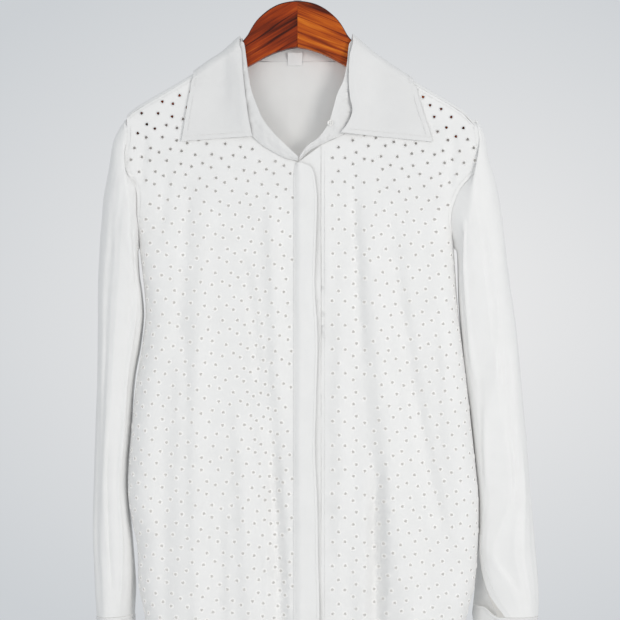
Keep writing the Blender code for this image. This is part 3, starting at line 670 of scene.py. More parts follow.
def addBack():
    shares = [2 * k / back["across"] - 1 for k in range(back["across"] + 1)]
    points, lays = [], []
    for number, turn in enumerate(back["rolls"]):
        for share in shares:
            x = share * (edgeAt(share, armTop) - body["tipShort"])
            drop = ridgeDrop(x) + body["shoulderRadius"] * (1 - cos(radians(turn)))
            points.append(Vector((x, body["shoulderRadius"] * sin(radians(turn)), -drop)))
            lays.append((x, ridgeDrop(x) - 12 + 2.3 * number))
    top = ridgeDrop(200) + body["shoulderRadius"]
    for row in range(back["down"] + 1):
        along = row / back["down"]
        closer = back["early"] * along * along + (1 - back["early"]) * along
        sideDrop = top + (hemSide - top) * closer
        down = (sideDrop - top) / (hemSide - top)
        for share in shares:
            side = -1 if share < 0 else 1
            end = edgeAt(side, armTop) - body["tipShort"]
            inNeck = min(max(1 - abs(share * end) / body["neckHalf"], 0) * back["neckSteep"], 1)
            start = (ridgeDrop(max(abs(share * end), body["neckHalf"])) + body["shoulderRadius"]
                     + back["neckSunk"] * inNeck)
            drop = start + (hemDropAt(share * 200) - start) * down
            drop += (sideDrop - drop) * soft(abs(share)) * soft(down * 12)
            half = clothHalf(side, sideDrop, 1) - body["sideGap"] / 2
            s = share * (end + (half - end) * soft(down * 12))
            points.append(bodyPoint(s, drop, 1))
            lays.append((s, drop))
    rollRows = len(back["rolls"])

    def keep(row, column):
        onNeck = -back["neckShare"] < shares[column] and shares[column + 1] < back["neckShare"]
        return row >= rollRows or not onNeck
    faces = netFaces(rollRows + back["down"] + 1, len(shares), keep)
    return clothPiece("backPanel", points, faces, lays, lambda centre: Vector((0, 1, 0)),
                      [plainCotton, innerCottonShadeAndGlow])


backPanel = seat(addBack(), "plain_cotton", "back")
print("back made", len(backPanel.data.polygons), "faces")

# the sleeves. rings below the armhole: outer x and drop, inner x and drop, half depth,
# middle in y, and how much further back the inner edge lies than the outer one.
# folds: top, foot, place round the sleeve at top, half way and foot (0 outer edge, 90 front,
# 180 inner edge, 270 back), reach at top and foot in degrees, height.
# flat: how flat the front lies beside the body, leanShare: what is left of the lean there,
# closer: mm that the inner edge moves to the body, squareness: power of the front's corner.
# slitTurns: turn of the slit's front edge on the last rings, slitColumn: its place in 24ths
sleeve = {"around": 96, "between": 9, "slitColumn": 9, "slitTurns": [135, 163, 120, 94],
          "flat": 0.9, "leanShare": 0.3, "closer": 2.9, "squareness": 0.33,
          "middleX": 222, "middleY": 12, "topSteep": 40,
          "right": [(-205, 211, -184.5, 354, 21, 1, 0), (-212.5, 227, -184, 366, 24, 3, 4),
                    (-218, 259, -183, 384, 27, 6, 9), (-224, 292, -181.5, 404, 29, 9, 14),
                    (-228, 335, -181.5, 430, 31, 12, 18), (-231, 392, -185.5, 464, 32, 14, 22),
                    (-231, 450, -192, 504, 32, 15, 24), (-233, 530, -196, 560, 33, 16, 26),
                    (-235.5, 610, -200, 622, 33, 17, 26), (-237, 680, -195, 684, 33, 16, 24),
                    (-234.5, 735, -190, 737, 34, 15, 22), (-232, 774, -190, 774, 32, 14, 20)],
          "left": [(214, 214, 184, 354, 21, 1, 0), (221, 246, 185.5, 368, 24, 3, 4),
                   (229, 274, 186, 388, 27, 6, 9), (236, 311, 188, 410, 29, 9, 14),
                   (242.5, 364, 191, 440, 31, 12, 18), (250.5, 424, 194, 480, 32, 14, 22),
                   (258, 490, 200, 524, 33, 15, 24), (264, 560, 206, 580, 34, 16, 26),
                   (270, 632, 212, 640, 35, 17, 26), (276, 698, 212, 700, 36, 17, 24),
                   (279, 745, 208, 746, 35, 15, 22), (278, 774, 204, 774, 33, 14, 20)]}
sleeveFoldsRight = [(255, 700, 62, 60, 52, 15, 16, -1.8), (250, 560, 96, 92, 88, 16, 18, 1.8),
                    (262, 420, 122, 120, 116, 12, 14, -1.8), (360, 640, 120, 112, 110, 12, 14, 1.8),
                    (540, 770, 84, 84, 86, 6, 7, -1.6), (560, 774, 104, 104, 104, 6, 8, 1.5),
                    (640, 774, 30, 30, 32, 12, 12, 1.4), (470, 774, 40, 44, 50, 10, 12, -1.4),
                    (280, 700, 225, 235, 240, 16, 20, 2), (300, 740, 262, 266, 262, 14, 18, -2),
                    (350, 774, 300, 305, 300, 14, 18, 2)]
sleeveFoldsLeft = [(262, 520, 118, 118, 112, 12, 14, 2), (275, 600, 82, 76, 70, 13, 15, -1.8),
                   (400, 640, 60, 92, 118, 10, 12, 1.8), (440, 774, 52, 66, 84, 10, 11, -2),
                   (560, 774, 40, 48, 60, 9, 10, 1.8), (600, 774, 20, 24, 30, 9, 10, -1.4),
                   (300, 700, 228, 238, 244, 16, 20, 2), (320, 760, 262, 268, 262, 14, 18, -2),
                   (360, 774, 300, 306, 300, 14, 18, 2)]


firstSlitRing = len(sleeve["left"]) - len(sleeve["slitTurns"])


# the turn of a place on a ring, in 24ths, drawn aside where the left sleeve's slit opens
def slitAngle(k, ring, side):
    straight = 15.0 * k
    behind = ring - firstSlitRing
    if side < 0 or behind < 0 or k >= 2 * sleeve["slitColumn"] - 6:
        return radians(straight)
    edge = sleeve["slitTurns"][behind]
    if k <= sleeve["slitColumn"]:
        return radians(straight * edge / 135)
    return radians(edge + (180 - edge) * (k - sleeve["slitColumn"]) / 3)


# smooth run through a list of points, with some more between each two
def smoothRun(points, between):
    made = []
    for i in range(len(points) - 1):
        first, second = points[i], points[i + 1]
        before = points[i - 1] if i else first * 2 - second
        after = points[i + 2] if i + 2 < len(points) else second * 2 - first
        gap = max((second - first).length, 1e-6)
        gapBefore, gapAfter = max((first - before).length, 1e-6), max((after - second).length, 1e-6)
        slopeFirst = (second - before) / (gap + gapBefore) * gap
        slopeSecond = (after - first) / (gap + gapAfter) * gap
        for k in range(between):
            t = k / between
            made.append(first * (2 * t**3 - 3 * t**2 + 1) + slopeFirst * (t**3 - 2 * t**2 + t)
                        + second * (3 * t**2 - 2 * t**3) + slopeSecond * (t**3 - t**2))
    return made + [points[-1].copy()]


# the ring at the seam with the body, in front of the panel's edge and behind it
def armholeRing(side):
    around = sleeve["around"]
    ring = []
    for k in range(around):
        angle = 2 * pi * k / around
        drop = armDrop(angle if k <= around / 2 else 2 * pi - angle)
        x = edgeAt(side, drop) + body["armGap"]
        turned = tableValue(body["edges"], 3, drop)
        deep = bodyDepth(side * (x - 2), drop, -1) * min(max(turned, 0), 1)
        share = max(drop - armTop, 0) / (armLow - armTop)
        deep = min(deep, 1.2 + sleeve["topSteep"] * sqrt(share))
        facing = -1 if sin(angle) > 0.001 else 1 if sin(angle) < -0.001 else 0
        ring.append(Vector((side * x, facing * deep, cos(angle) * 1.7 * body["armGap"] - drop)))
    return ring


def sleeveRings(side):
    around = sleeve["around"]
    rings = [armholeRing(side)]
    table = sleeve["right" if side < 0 else "left"]
    for number, (outX, outDrop, inX, inDrop, half, mid, lean) in enumerate(table):
        # the front lies flat up to the body's edge, and is round again at the cuff
        flat = sleeve["flat"] * min((number + 1) / 3, (len(table) - 1 - number) / 2, 1)
        lean *= 1 - (1 - sleeve["leanShare"]) * flat
        inX -= side * sleeve["closer"] * min(max(number - 2, 0) / 2, flat)
        middle = Vector(((outX + inX) / 2, mid, -(outDrop + inDrop) / 2))
        reach = Vector(((outX - inX) / 2, -lean / 2, -(outDrop - inDrop) / 2))
        ring = []
        for k in range(around):
            angle = slitAngle(24 * k / around, number, side)
            across, deep = cos(angle), sin(angle)
            if pi / 2 < angle < pi:
                across -= flat * ((-across)**sleeve["squareness"] + across)
                deep += flat * (deep**sleeve["squareness"] - deep)
            ring.append(middle + reach * across + Vector((0, -half * deep, 0)))
        rings.append(ring)
    columns = [smoothRun([ring[k] for ring in rings], sleeve["between"]) for k in range(around)]
    return [[column[r] for column in columns] for r in range(len(columns[0]))]


def addSleeve(side, name, node):
    rings = sleeveRings(side)
    around = sleeve["around"]
    folds = sleeveFoldsRight if side < 0 else sleeveFoldsLeft
    points, lays = [], []
    centres = [sum(ring, Vector()) / around for ring in rings]
    for r, ring in enumerate(rings):
        along = r / (len(rings) - 1)
        run = 0.0
        for k, point in enumerate(ring):
            straight = 360 * k / around
            drop = -point.z
            out = Vector((point.x - centres[r].x, point.y - centres[r].y, 0))
            out = out.normalized() if out.length > 0.1 else Vector((side, 0, 0))
            high = 0
            for shift in (0, 360, -360):
                high += foldHeight(folds, straight + shift, drop)
            high += uneven(straight * 0.55 + 500 * side, drop, 21, 16, 60, 0.7)
            points.append(point + out * high * soft(along * 9))
            run += (point - ring[k - 1]).length if k else 0.0
            lays.append((run, drop))
    firstSlit = (firstSlitRing + 2) * sleeve["between"]

    def keep(row, column):
        turn = 24 * column / around
        return side < 0 or row < firstSlit or not sleeve["slitColumn"] <= turn < 12
    faces = netFaces(len(rings), around, keep, closed=True)
    made = clothPiece(name, points, faces, lays,
                      lambda centre: Vector((centre.x - side * sleeve["middleX"],
                                             centre.y - sleeve["middleY"], 0)),
                      [plainCotton, innerCottonShadeAndGlow])
    seat(made, "plain_cotton", node)
    return points


addSleeve(-1, "sleeveRight", "sleeve_right")
pointsLeft = addSleeve(1, "sleeveLeft", "sleeve_left")

# the turned-in edges of cloth behind each armhole seam. rows: place across the seam, depth
# behind it. step: mm from point to point round the armhole
armSeam = {"rows": [(-2.6, 1.1), (0, 1.0), (2.6, 1.5)], "thick": 0.4, "step": 3.2}


def addArmSeam(side, name):
    middleDrop = (armTop + armLow) / 2
    points, lays = [], []
    for across, deep in armSeam["rows"]:
        for k, point in enumerate(armholeRing(side)):
            inward = Vector((0, -point.y, -middleDrop - point.z)).normalized()
            points.append(point + inward * deep + Vector((side * across, 0, 0)))
            lays.append((across, k * armSeam["step"]))
    faces = netFaces(len(armSeam["rows"]), sleeve["around"], closed=True)
    made = clothPiece(name, points, faces, lays,
                      lambda centre: Vector((0, centre.y, centre.z + middleDrop)),
                      [plainCotton, plainCotton], thick=armSeam["thick"])
    seat(made, "plain_cotton")


addArmSeam(-1, "armSeamRight")
addArmSeam(1, "armSeamLeft")

# the collar. stand: its seam with the body, its upper edge, and how far each stands in front
# of (below 0) or behind y = 0. fall: its rolled edge, y there, its outer edge, and the side
# it lies on (-1 front, 0 over the shoulder, 1 back). fallShares: the fall's rings from its
# roll to its edge. crease: depth of the stand's creases, creaseReach: mm from one to the next.
# fallLies: how far above the body the fall lies
collar = {"thick": 1.1, "standThick": 1.0, "across": 6, "along": 7,
          "fallShares": (0, 0.08, 0.2, 0.4, 0.7, 1), "fallLies": 2.0, "crease": 2.6,
          "creaseReach": 12, "onChest": 130, "overShoulder": 175,
          "standRight": [(0.6, 250, -15, 0.6, 245, -17.5), (-14.7, 246, -14.7, -7.5, 237.5, -18),
                         (-37.6, 233.4, -14, -25.3, 220.3, -18.5),
                         (-51.6, 221.8, -13, -39.3, 203, -19),
                         (-61, 211.4, -12.5, -46, 188, -20), (-70, 190.6, -12, -52.5, 170, -20),
                         (-75.4, 165, -11.5, -56.5, 150, -19), (-76.3, 145, -10.5, -59, 132, -17),
                         (-75.7, 127, -9.4, -61.5, 115, -12.5), (-75.7, 118.6, 0, -64, 107.5, 0),
                         (-75.7, 127, 9.4, -61.5, 112, 12.5), (-62, 130.2, 9.5, -52, 108, 14),
                         (-32, 133.6, 9.5, -28, 106.5, 14)],
          "standLeft": [(1.5, 250, -12, 1.5, 245.5, -14), (14.4, 237.6, -12, 11, 233, -16),
                        (37.4, 225.9, -12.5, 25.5, 222, -17.5), (54, 218.4, -12.5, 36, 206, -19),
                        (62.4, 205.6, -12, 41, 190, -20), (69.4, 187.6, -11.8, 45.5, 174, -20),
                        (74.4, 165, -11.5, 53, 157, -19), (76.3, 145, -10.5, 57.2, 137, -17),
                        (75.7, 127, -9.4, 59.5, 116, -12.5), (75.7, 118.6, 0, 63, 106, 0),
                        (75.7, 127, 9.4, 61.5, 112, 12.5), (62, 130.2, 9.5, 52, 108, 14),
                        (32, 133.6, 9.5, 28, 106.5, 14)],
          "standBack": (0, 133.6, 9.5, 0, 106, 14),
          "fallRight": [(-52, 221.4, -16.4, -133.4, 227.5, -1), (-55.5, 205, -19.6, -131, 213, -1),
                        (-58.5, 185, -20.5, -128.5, 196, -1), (-61, 165, -20.5, -126, 182, -1),
                        (-63, 145, -19.5, -123.5, 169, -1), (-64.5, 124, -16.5, -121.5, 157, -1),
                        (-66.5, 105.5, 0, -120, 144.4, 0), (-64.5, 113, 16, -118, 160, 1),
                        (-56, 107, 18.8, -104, 176, 1), (-32, 103.5, 19.5, -58, 186, 1)],
          "fallLeft": [(49.6, 217.6, -18.4, 155.2, 228, -1), (57, 208, -18.6, 151, 213, -1),
                       (63, 193, -18.4, 146, 199, -1), (60, 176, -20.2, 142, 186, -1),
                       (58.8, 153, -20.8, 138.5, 174, -1), (60, 129, -18.2, 136, 165, -1),
                       (63.5, 103.6, 0, 133, 152.6, 0), (64.5, 113, 16, 128, 168, 1),
                       (56, 107, 18.8, 108, 180, 1), (32, 103.5, 19.5, 60, 187, 1)],
          "fallBack": (0, 103, 20, 0, 188, 1)}


# rings of the stand at a row of its table: one, or several over the shoulder
def standRings(row):
    lowX, lowDrop, lowY, topX, topDrop, topY = row
    if lowY:
        low, top = Vector((lowX, lowY, -lowDrop)), Vector((topX, topY, -topDrop))
        return [[low, low.lerp(top, 0.5) + Vector((0, -1 if lowY < 0 else 1, 0)), top]]
    rings = []
    for turn in (-56, -28, 0, 28, 56):
        out, down = sin(radians(turn)), 1 - cos(radians(turn))
        low = Vector((lowX, body["shoulderRadius"] * out, -lowDrop - body["shoulderRadius"] * down))
        top = Vector((topX, 12.5 * out, -topDrop - 9 * down))
        rings.append([low, low.lerp(top, 0.5) + Vector((0, out, 0.6)), top])
    return rings


def fallRings(row):
    inX, inDrop, inY, outX, outDrop, face = row
    rings = []
    for turn in (-75, -45, -15, 15, 45, 75) if face == 0 else (0,):
        ring = []
        for share in collar["fallShares"]:
            x = inX + (outX - inX) * share
            drop = inDrop + (outDrop - inDrop) * share
            if face == 0:
                radius = body["shoulderRadius"] + 2.2 + 4.5 * (1 - soft(share * 2.5))
                ring.append(Vector((x, radius * sin(radians(turn)), radius * cos(radians(turn))
                                    - ridgeDrop(x) - body["shoulderRadius"])))
                continue
            low = max(drop, ridgeDrop(x) + body["shoulderRadius"])
            lying = face * (bodyDepth(x, low, face) + collar["fallLies"])
            settle = soft(share * 2.6)
            ring.append(Vector((x, inY * (1 - settle) + lying * settle, -drop)))
        rings.append(ring)
    return rings


def wholeCollar(right, middle, left, makeRings):
    rings = []
    for row in right + [middle]:
        rings += makeRings(row)
    for row in reversed(left):
        rings += list(reversed(makeRings(row)))
    return rings


# a finer net through the rings, with the length along and across it for the cloth's map
def fineNet(rings, along, across):
    fine = [smoothRun(ring, across) for ring in rings]
    columns = [smoothRun([ring[c] for ring in fine], along) for c in range(len(fine[0]))]
    net = [[column[r] for column in columns] for r in range(len(columns[0]))]
    middle = len(net[0]) // 2
    lays, run = [], 0.0
    for r, ring in enumerate(net):
        run += (ring[middle] - net[r - 1][middle]).length if r else 0.0
        over = 0.0
        for c, point in enumerate(ring):
            over += (point - ring[c - 1]).length if c else 0.0
            lays.append((run, over))
    return net, lays


def neckAway(centre):
    return Vector((centre.x, centre.y, 0))


def addStand():
    rings = wholeCollar(collar["standRight"], collar["standBack"], collar["standLeft"], standRings)
    net, lays = fineNet(rings, collar["along"], collar["across"])
    points = []
    for ring in net:
        for c, point in enumerate(ring):
            share = c / (len(ring) - 1)
            ahead = Vector((0, -1 if point.y < 0 else 1, 0))
            below = soft((-point.z - collar["onChest"]) / 40) * (point.y < 0)
            onChest = 1 if abs(point.x) < 3 else below
            out = neckAway(point).normalized().lerp(ahead, onChest).normalized()
            wave = uneven(point.x * 1.1 + point.z * 0.4, point.z * 0.55, 31, 9, 12, 0.9)
            slanted = Vector((point.x + point.z * 0.9, point.z * 0.9 - point.x, share * 4))
            crease = noise.ridged_multi_fractal(slanted / collar["creaseReach"], 1, 2, 2, 1, 2)
            wave -= collar["crease"] * (crease - 0.9) * (1 if point.y < 0 else 0.2)
            points.append(point + out * wave * sin(pi * share) * 0.8 - out * 0.15)
    made = clothPiece("collarStand", points, netFaces(len(net), len(net[0])), lays, neckAway,
                      [collarCottonPaintedShade, collarCottonPaintedShade], thick=collar["standThick"])
    seat(made, "plain_cotton", "collar_stand")
    return net


def onCollar(centre):
    if abs(centre.y) < 16 and centre.z > -collar["overShoulder"]:
        return Vector((0, centre.y * 0.05, 1))
    return Vector((0, -1 if centre.y < 0 else 1, 0))


# a rounded ridge across a run: 1 on the middle, 0 from the given reach on
def ridge(distance, reach):
    return 0.5 + 0.5 * cos(pi * min(abs(distance) / reach, 1))


def addFall():
    rings = wholeCollar(collar["fallRight"], collar["fallBack"], collar["fallLeft"], fallRings)
    net, lays = fineNet(rings, collar["along"], collar["across"])
    points = []
    for ring in net:
        for c, point in enumerate(ring):
            share = c / (len(ring) - 1)
            face = -1 if point.y < 0 else 1
            lift = 0.35 * soft(share * 3) + 0.35 * uneven(point.x, -point.z, 41, 26, 30, 1)
            if face < 0 and -point.z > 125:
                # a soft fold down from the roll and a dent across the right point
                lift += 1.1 * ridge(point.x + 75, 9) * soft((200 + point.z) / 40)
                lift -= 0.8 * ridge(-point.z - 159, 6) * soft((-50 - point.x) / 20)
            out = Vector((0, face, 0)) if abs(point.y) > 10 else Vector((0, 0, 1))
            points.append(point + out * max(lift, -0.6))
    made = clothPiece("collarFall", points, netFaces(len(net), len(net[0])), lays, onCollar,
                      [collarCottonPaintedShade, collarCottonPaintedShade], thick=collar["thick"])
    seat(made, "plain_cotton", "collar_fall")
    print("collar made", round(flatArea(made), 4))
    return net


standNet = addStand()
fallNet = addFall()

# the hidden button front: the outer band lies proud of the one that carries the buttons.
# rows: drop, left and right edge. sewn: how far its left edge stands off the front, which it
# is sewn to, and sewnShare: where it is free. slant: how much higher the under band's right
# edge starts
band = {"proud": 4.0, "sewn": 0.6, "sewnShare": 0.26, "thick": 0.9, "across": 10, "step": 5,
        "fineStep": 1.2, "fineOver": 14,
        "outer": [(252, -1.4, 4), (256, -2.8, 14), (264, -3.8, 18.6), (275, -4, 20.6),
                  (295, -4, 22.4), (387, -4, 19.6), (413, -4, 20.6), (440, -4, 22.4),
                  (466, -4, 23), (520, -4, 21.5), (580, -4, 20), (640, -4, 22.5),
                  (700, -4, 23.5), (760, -4, 25), (849, -4, 25)],
        "under": [(251.2, 1.2, 26.8), (849, 1.2, 26.8)], "slant": 19}


def bandPoint(share, drop, rows, out, slant=0):
    low, high = tableValue(rows, 1, drop), tableValue(rows, 2, drop)
    rise = slant * share * (1 - soft((drop - rows[0][0]) / 60))
    wave = 0.5 * noise.noise(Vector((share * 1.5, drop / 24, 51 + out)))
    wave += 0.6 * out / 4 * soft((share - 0.6) / 0.4) * sin(drop / 17.0)
    if out:
        free = soft(share / band["sewnShare"])
        out, wave = band["sewn"] + (out - band["sewn"]) * free, wave * free
    return bodyPoint(low + (high - low) * share, drop - rise, -1, out + wave)


def addBand(name, node, rows, out, slant=0):
    drops = [rows[0][0]]
    while drops[-1] + band["step"] < rows[-1][0]:
        fine = drops[-1] < rows[0][0] + band["fineOver"]
        drops.append(drops[-1] + (band["fineStep"] if fine else band["step"]))
    drops.append(rows[-1][0])
    points, lays = [], []
    for drop in drops:
        for c in range(band["across"] + 1):
            share = c / band["across"]
            points.append(bandPoint(share, drop, rows, out, slant))
            lays.append((points[-1].x, drop))
    made = clothPiece(name, points, netFaces(len(drops), band["across"] + 1), lays,
                      lambda centre: Vector((0, -1, 0)), [plainCotton, plainCotton],
                      thick=band["thick"])
    seat(made, "plain_cotton", node)


addBand("bandOuter", "band_outer", band["outer"], band["proud"])
addBand("bandUnder", "band_under", band["under"], 0, slant=band["slant"])
print("bands made")

# cuffs: drop, middle in x and y, half widths in x and y, lean as on the sleeves. corner: how
# far the left one's upper edge rises beside the slit
cuff = {"around": 96, "between": 5, "thick": 1.1, "corner": 11, "uneven": 0.4,
        "middleX": {-1: -210.5, 1: 241}, "middleY": 12,
        "right": [(774.6, -211, 14, 21, 32, 20), (784, -210.5, 13.5, 21.5, 29, 12),
                  (796, -210.5, 13, 21.5, 26, 5), (816, -210, 12, 21.5, 25, 3),
                  (836, -210, 11, 21, 25, 2)],
        "left": [(774.6, 241, 14, 37, 33, 20), (784, 241, 13.5, 36, 29, 12),
                 (796, 241, 13, 35, 26, 5), (816, 241, 12, 34, 25, 3), (836, 241, 11, 33, 25, 2)]}


def cuffRings(side):
    rings = []
    table = cuff["right" if side < 0 else "left"]
    for number, (drop, midX, midY, halfX, halfY, lean) in enumerate(table):
        ring = []
        for k in range(cuff["around"]):
            turn = 24 * k / cuff["around"]
            angle = 2 * pi * k / cuff["around"]
            raised = 0
            if side > 0 and number == 0 and 7 < turn < 12:
                rise = (turn - 7) / 2.2 if turn < 9.2 else (12 - turn) / 0.8
                raised = cuff["corner"] * soft(rise)
            ring.append(Vector((midX + side * halfX * cos(angle),
                                midY - lean / 2 * cos(angle) - halfY * sin(angle), raised - drop)))
        rings.append(ring)
    columns = [smoothRun([ring[k] for ring in rings], cuff["between"])
               for k in range(cuff["around"])]
    return [[column[r] for column in columns] for r in range(len(columns[0]))]


# the way out of a cuff at a point of it
def cuffAway(side, point):
    return Vector((point.x - cuff["middleX"][side], point.y - cuff["middleY"], 0))


def addCuff(side, name, node):
    rings = cuffRings(side)
    points, lays = [], []
    for ring in rings:
        run = 0.0
        for k, point in enumerate(ring):
            wave = noise.noise(Vector((point.x / 12, point.y / 12, point.z / 18)))
            points.append(point + cuffAway(side, point).normalized() * cuff["uneven"] * wave)
            run += (point - ring[k - 1]).length if k else 0.0
            lays.append((run, -point.z))
    made = clothPiece(name, points, netFaces(len(rings), cuff["around"], closed=True), lays,
                      lambda centre: cuffAway(side, centre),
                      [plainCotton, innerCottonShadeAndGlow], thick=cuff["thick"])
    seat(made, "plain_cotton", node)
    return rings


cuffs = {-1: addCuff(-1, "cuffRight", "cuff_right"),
         1: addCuff(1, "cuffLeft", "cuff_left")}
print("cuffs made")

# pearl buttons: a dished disc with a rounded rim, four holes and crossed thread. hidden: x
# and drops of those under the outer band
button = {"size": 10, "thick": 1.5, "rim": 0.9, "dish": 0.3, "holeAway": 1.5, "holeSize": 0.9,
          "thread": 0.28, "steps": 28, "hiddenX": 11, "hidden": (322, 418, 514, 610, 706, 802)}


def pearlLook():
    made, flat, shader = newMaterial("pearl", Specular_IOR_Level=0.5, Coat_Weight=0.25,
                                     Coat_Roughness=0.12)
    place = flat.node("ShaderNodeTexCoord", out=3)
    cloud = flat.noise(place, 420.0, 4.0, 0.6)
    stops = [(0.3, (0.70, 0.68, 0.66)), (0.5, (0.82, 0.81, 0.78)), (0.72, (0.74, 0.76, 0.76))]
    flat.put(shader.inputs["Base Color"],
             flat.node("ShaderNodeValToRGB", {"stops": stops}, Fac=cloud))
    flat.put(shader.inputs["Roughness"], 0.22 + cloud * 0.12)
    flat.put(shader.inputs["Normal"], flat.bump(cloud, 0.15, 0.0002))
    return made


pearl = pearlLook()


# a profile of radius and height, turned round the z axis
def turnProfile(bm, profile):
    verts = [bm.verts.new((x, 0, z)) for x, z in profile]
    edges = [bm.edges.new(pair) for pair in zip(verts, verts[1:])]
    bmesh.ops.spin(bm, geom=verts + edges, cent=(0, 0, 0), axis=(0, 0, 1), dvec=(0, 0, 0),
                   angle=2 * pi, steps=button["steps"], use_merge=True, use_duplicate=False)


# a rod or disc, with its faces smooth or not and given to one of the piece's materials
def addRod(bm, radius, long, place, sides, slot, smooth):
    verts = bmesh.ops.create_cone(bm, cap_ends=True, segments=sides, radius1=radius,
                                  radius2=radius, depth=long, matrix=place)["verts"]
    for face in {face for vert in verts for face in vert.link_faces}:
        face.material_index = slot
        face.smooth = smooth


def buttonMesh(bm, size):
    half, thick, rim = size / 2, button["thick"] / 2, button["rim"]
    turnProfile(bm, [(0.02, -thick), (half - 0.5, -thick), (half - 0.1, -thick + 0.3), (half, 0),
                     (half - 0.1, thick - 0.25), (half - 0.4, thick), (half - rim, thick - 0.05),
                     (half - rim - 0.4, thick - button["dish"]), (0.02, thick - button["dish"])])
    bmesh.ops.remove_doubles(bm, verts=bm.verts, dist=0.05)
    bmesh.ops.recalc_face_normals(bm, faces=bm.faces)


def addButton(name, nodes, centre, facing, size=button["size"]):
    bm = bmesh.new()
    buttonMesh(bm, size)
    for face in bm.faces:
        face.smooth = True
    top = button["thick"] / 2 - button["dish"]
    holes = [Vector((button["holeAway"] * cos(angle), button["holeAway"] * sin(angle), top))
             for angle in (pi / 4, 3 * pi / 4, 5 * pi / 4, 7 * pi / 4)]
    # each hole is a thin dark disc on the dish: painted shade, not an opening
    for hole in holes:
        addRod(bm, button["holeSize"] / 2, 0.06, Matrix.Translation(hole + Vector((0, 0, 0.02))),
               sides=10, slot=1, smooth=False)
    for first, second in ((0, 2), (1, 3)):
        middle, along = (holes[first] + holes[second]) / 2, holes[second] - holes[first]
        turn = along.to_track_quat("Z", "Y").to_matrix().to_4x4()
        turn.translation = middle + Vector((0, 0, 0.22 + 0.1 * first))
        addRod(bm, button["thread"], along.length * 0.98, turn, sides=6, slot=2, smooth=True)
    place = facing.to_track_quat("Z", "Y").to_matrix().to_4x4()
    place.translation = centre
    bmesh.ops.transform(bm, matrix=Matrix.Scale(mm, 4) @ place, verts=bm.verts)
    made = newPiece(name, bm, pearl, holeShadeLook, threadPlain)
    made.data.set_sharp_from_angle(angle=radians(50))
    seat(made, "pearl", *nodes)


# an even look with fine specks: the painted shade in a button's holes, and sewing thread
def plainLook(name, tone, roughness, scale):
    made, flat, shader = newMaterial(name, Specular_IOR_Level=0.2)
    place = flat.node("ShaderNodeTexCoord", out=3)
    speck = flat.noise(place, scale, 3.0)
    flat.put(shader.inputs["Base Color"], flat.blend(speck, tone, tuple(v * 0.86 for v in tone)))
    flat.put(shader.inputs["Roughness"], roughness + (speck - 0.5) * 0.1)
    flat.put(shader.inputs["Normal"], flat.bump(speck, 0.3, 0.0001))
    return made


holeShadeLook = plainLook("buttonHolePaintedShade", (0.10, 0.095, 0.09), 0.8, 900.0)
threadPlain = plainLook("sewingThread", (0.86, 0.858, 0.845), 0.7, 2600.0)
for number, drop in enumerate(button["hidden"], 1):
    addButton("buttonFront%d" % number, ["button_front_%d" % number],
              bodyPoint(button["hiddenX"], drop, -1, band["proud"] / 2), Vector((0, -1, 0)))
for name, node, (drop, midX, midY, halfX, halfY, lean) in (
        ("buttonCuffRight", "button_cuff_right", cuff["right"][2]),
        ("buttonCuffLeft", "button_cuff_left", cuff["left"][2])):
    away = cuff["thick"] / 2 + button["thick"] / 2 + 0.1
    addButton(name, [node], Vector((midX, midY - halfY - away, -drop - 10)), Vector((0, -1, 0)))
print("buttons made")

# the slit above the left cuff: a binding on its front edge and an underlap behind it, on
# columns of the sleeve's points. columnWide, rowHigh: mm between those on the flat cloth
slit = {"bindingColumns": (32, 36), "underColumn": 48, "underReach": 0.72, "underAcross": 6,
        "proud": 0.7, "sunk": 2.6, "thick": 0.5, "columnWide": 2.2, "underWide": 3.0,
        "rowHigh": 8.0}


def addSlit():
    around = sleeve["around"]
    first = (firstSlitRing + 2) * sleeve["between"] - 3
    rows = len(pointsLeft) // around
    centre = Vector((cuff["middleX"][1], cuff["middleY"], 0))

    def pushed(point, much):
        return point + Vector((point.x - centre.x, point.y - centre.y, 0)).normalized() * much
    points, lays = [], []
    columns = range(slit["bindingColumns"][0], slit["bindingColumns"][1] + 1)
    for r in range(first, rows):
        for c in columns:
            points.append(pushed(pointsLeft[r * around + c], slit["proud"]))
            lays.append((c * slit["columnWide"], r * slit["rowHigh"]))
    binding = clothPiece("slitBinding", points, netFaces(rows - first, len(columns)), lays,
                         lambda middle: middle - centre, [plainCotton, plainCotton],
                         thick=slit["thick"])
    points, lays = [], []
    for r in range(first + 3, rows):
        inner = pointsLeft[r * around + slit["underColumn"]]
        edge = pointsLeft[r * around + slit["bindingColumns"][1]]
        for c in range(slit["underAcross"]):
            share = c / (slit["underAcross"] - 1) * slit["underReach"]
            sunk = slit["sunk"] * soft(share * 4) + 0.5
            points.append(pushed(inner.lerp(edge, share), -sunk))
            lays.append((c * slit["underWide"], r * slit["rowHigh"]))
    under = clothPiece("slitUnderlap", points, netFaces(rows - first - 3, slit["underAcross"]),
                       lays, lambda middle: middle - centre, [plainCotton, innerCottonShadeAndGlow],
                       thick=slit["thick"])
    for piece, wide in ((binding, 0.012), (under, 0.02)):
        seat(piece, "plain_cotton")


addSlit()

# size label inside the back neck, left bare: a folded satin strip, its top edge sewn down
label = {"left": -11.5, "right": 5.5, "top": 123.3, "low": 138.2, "y": 7.9, "curl": 0.28,
         "wave": 0.15, "thick": 0.35, "rows": 9, "columns": 11}


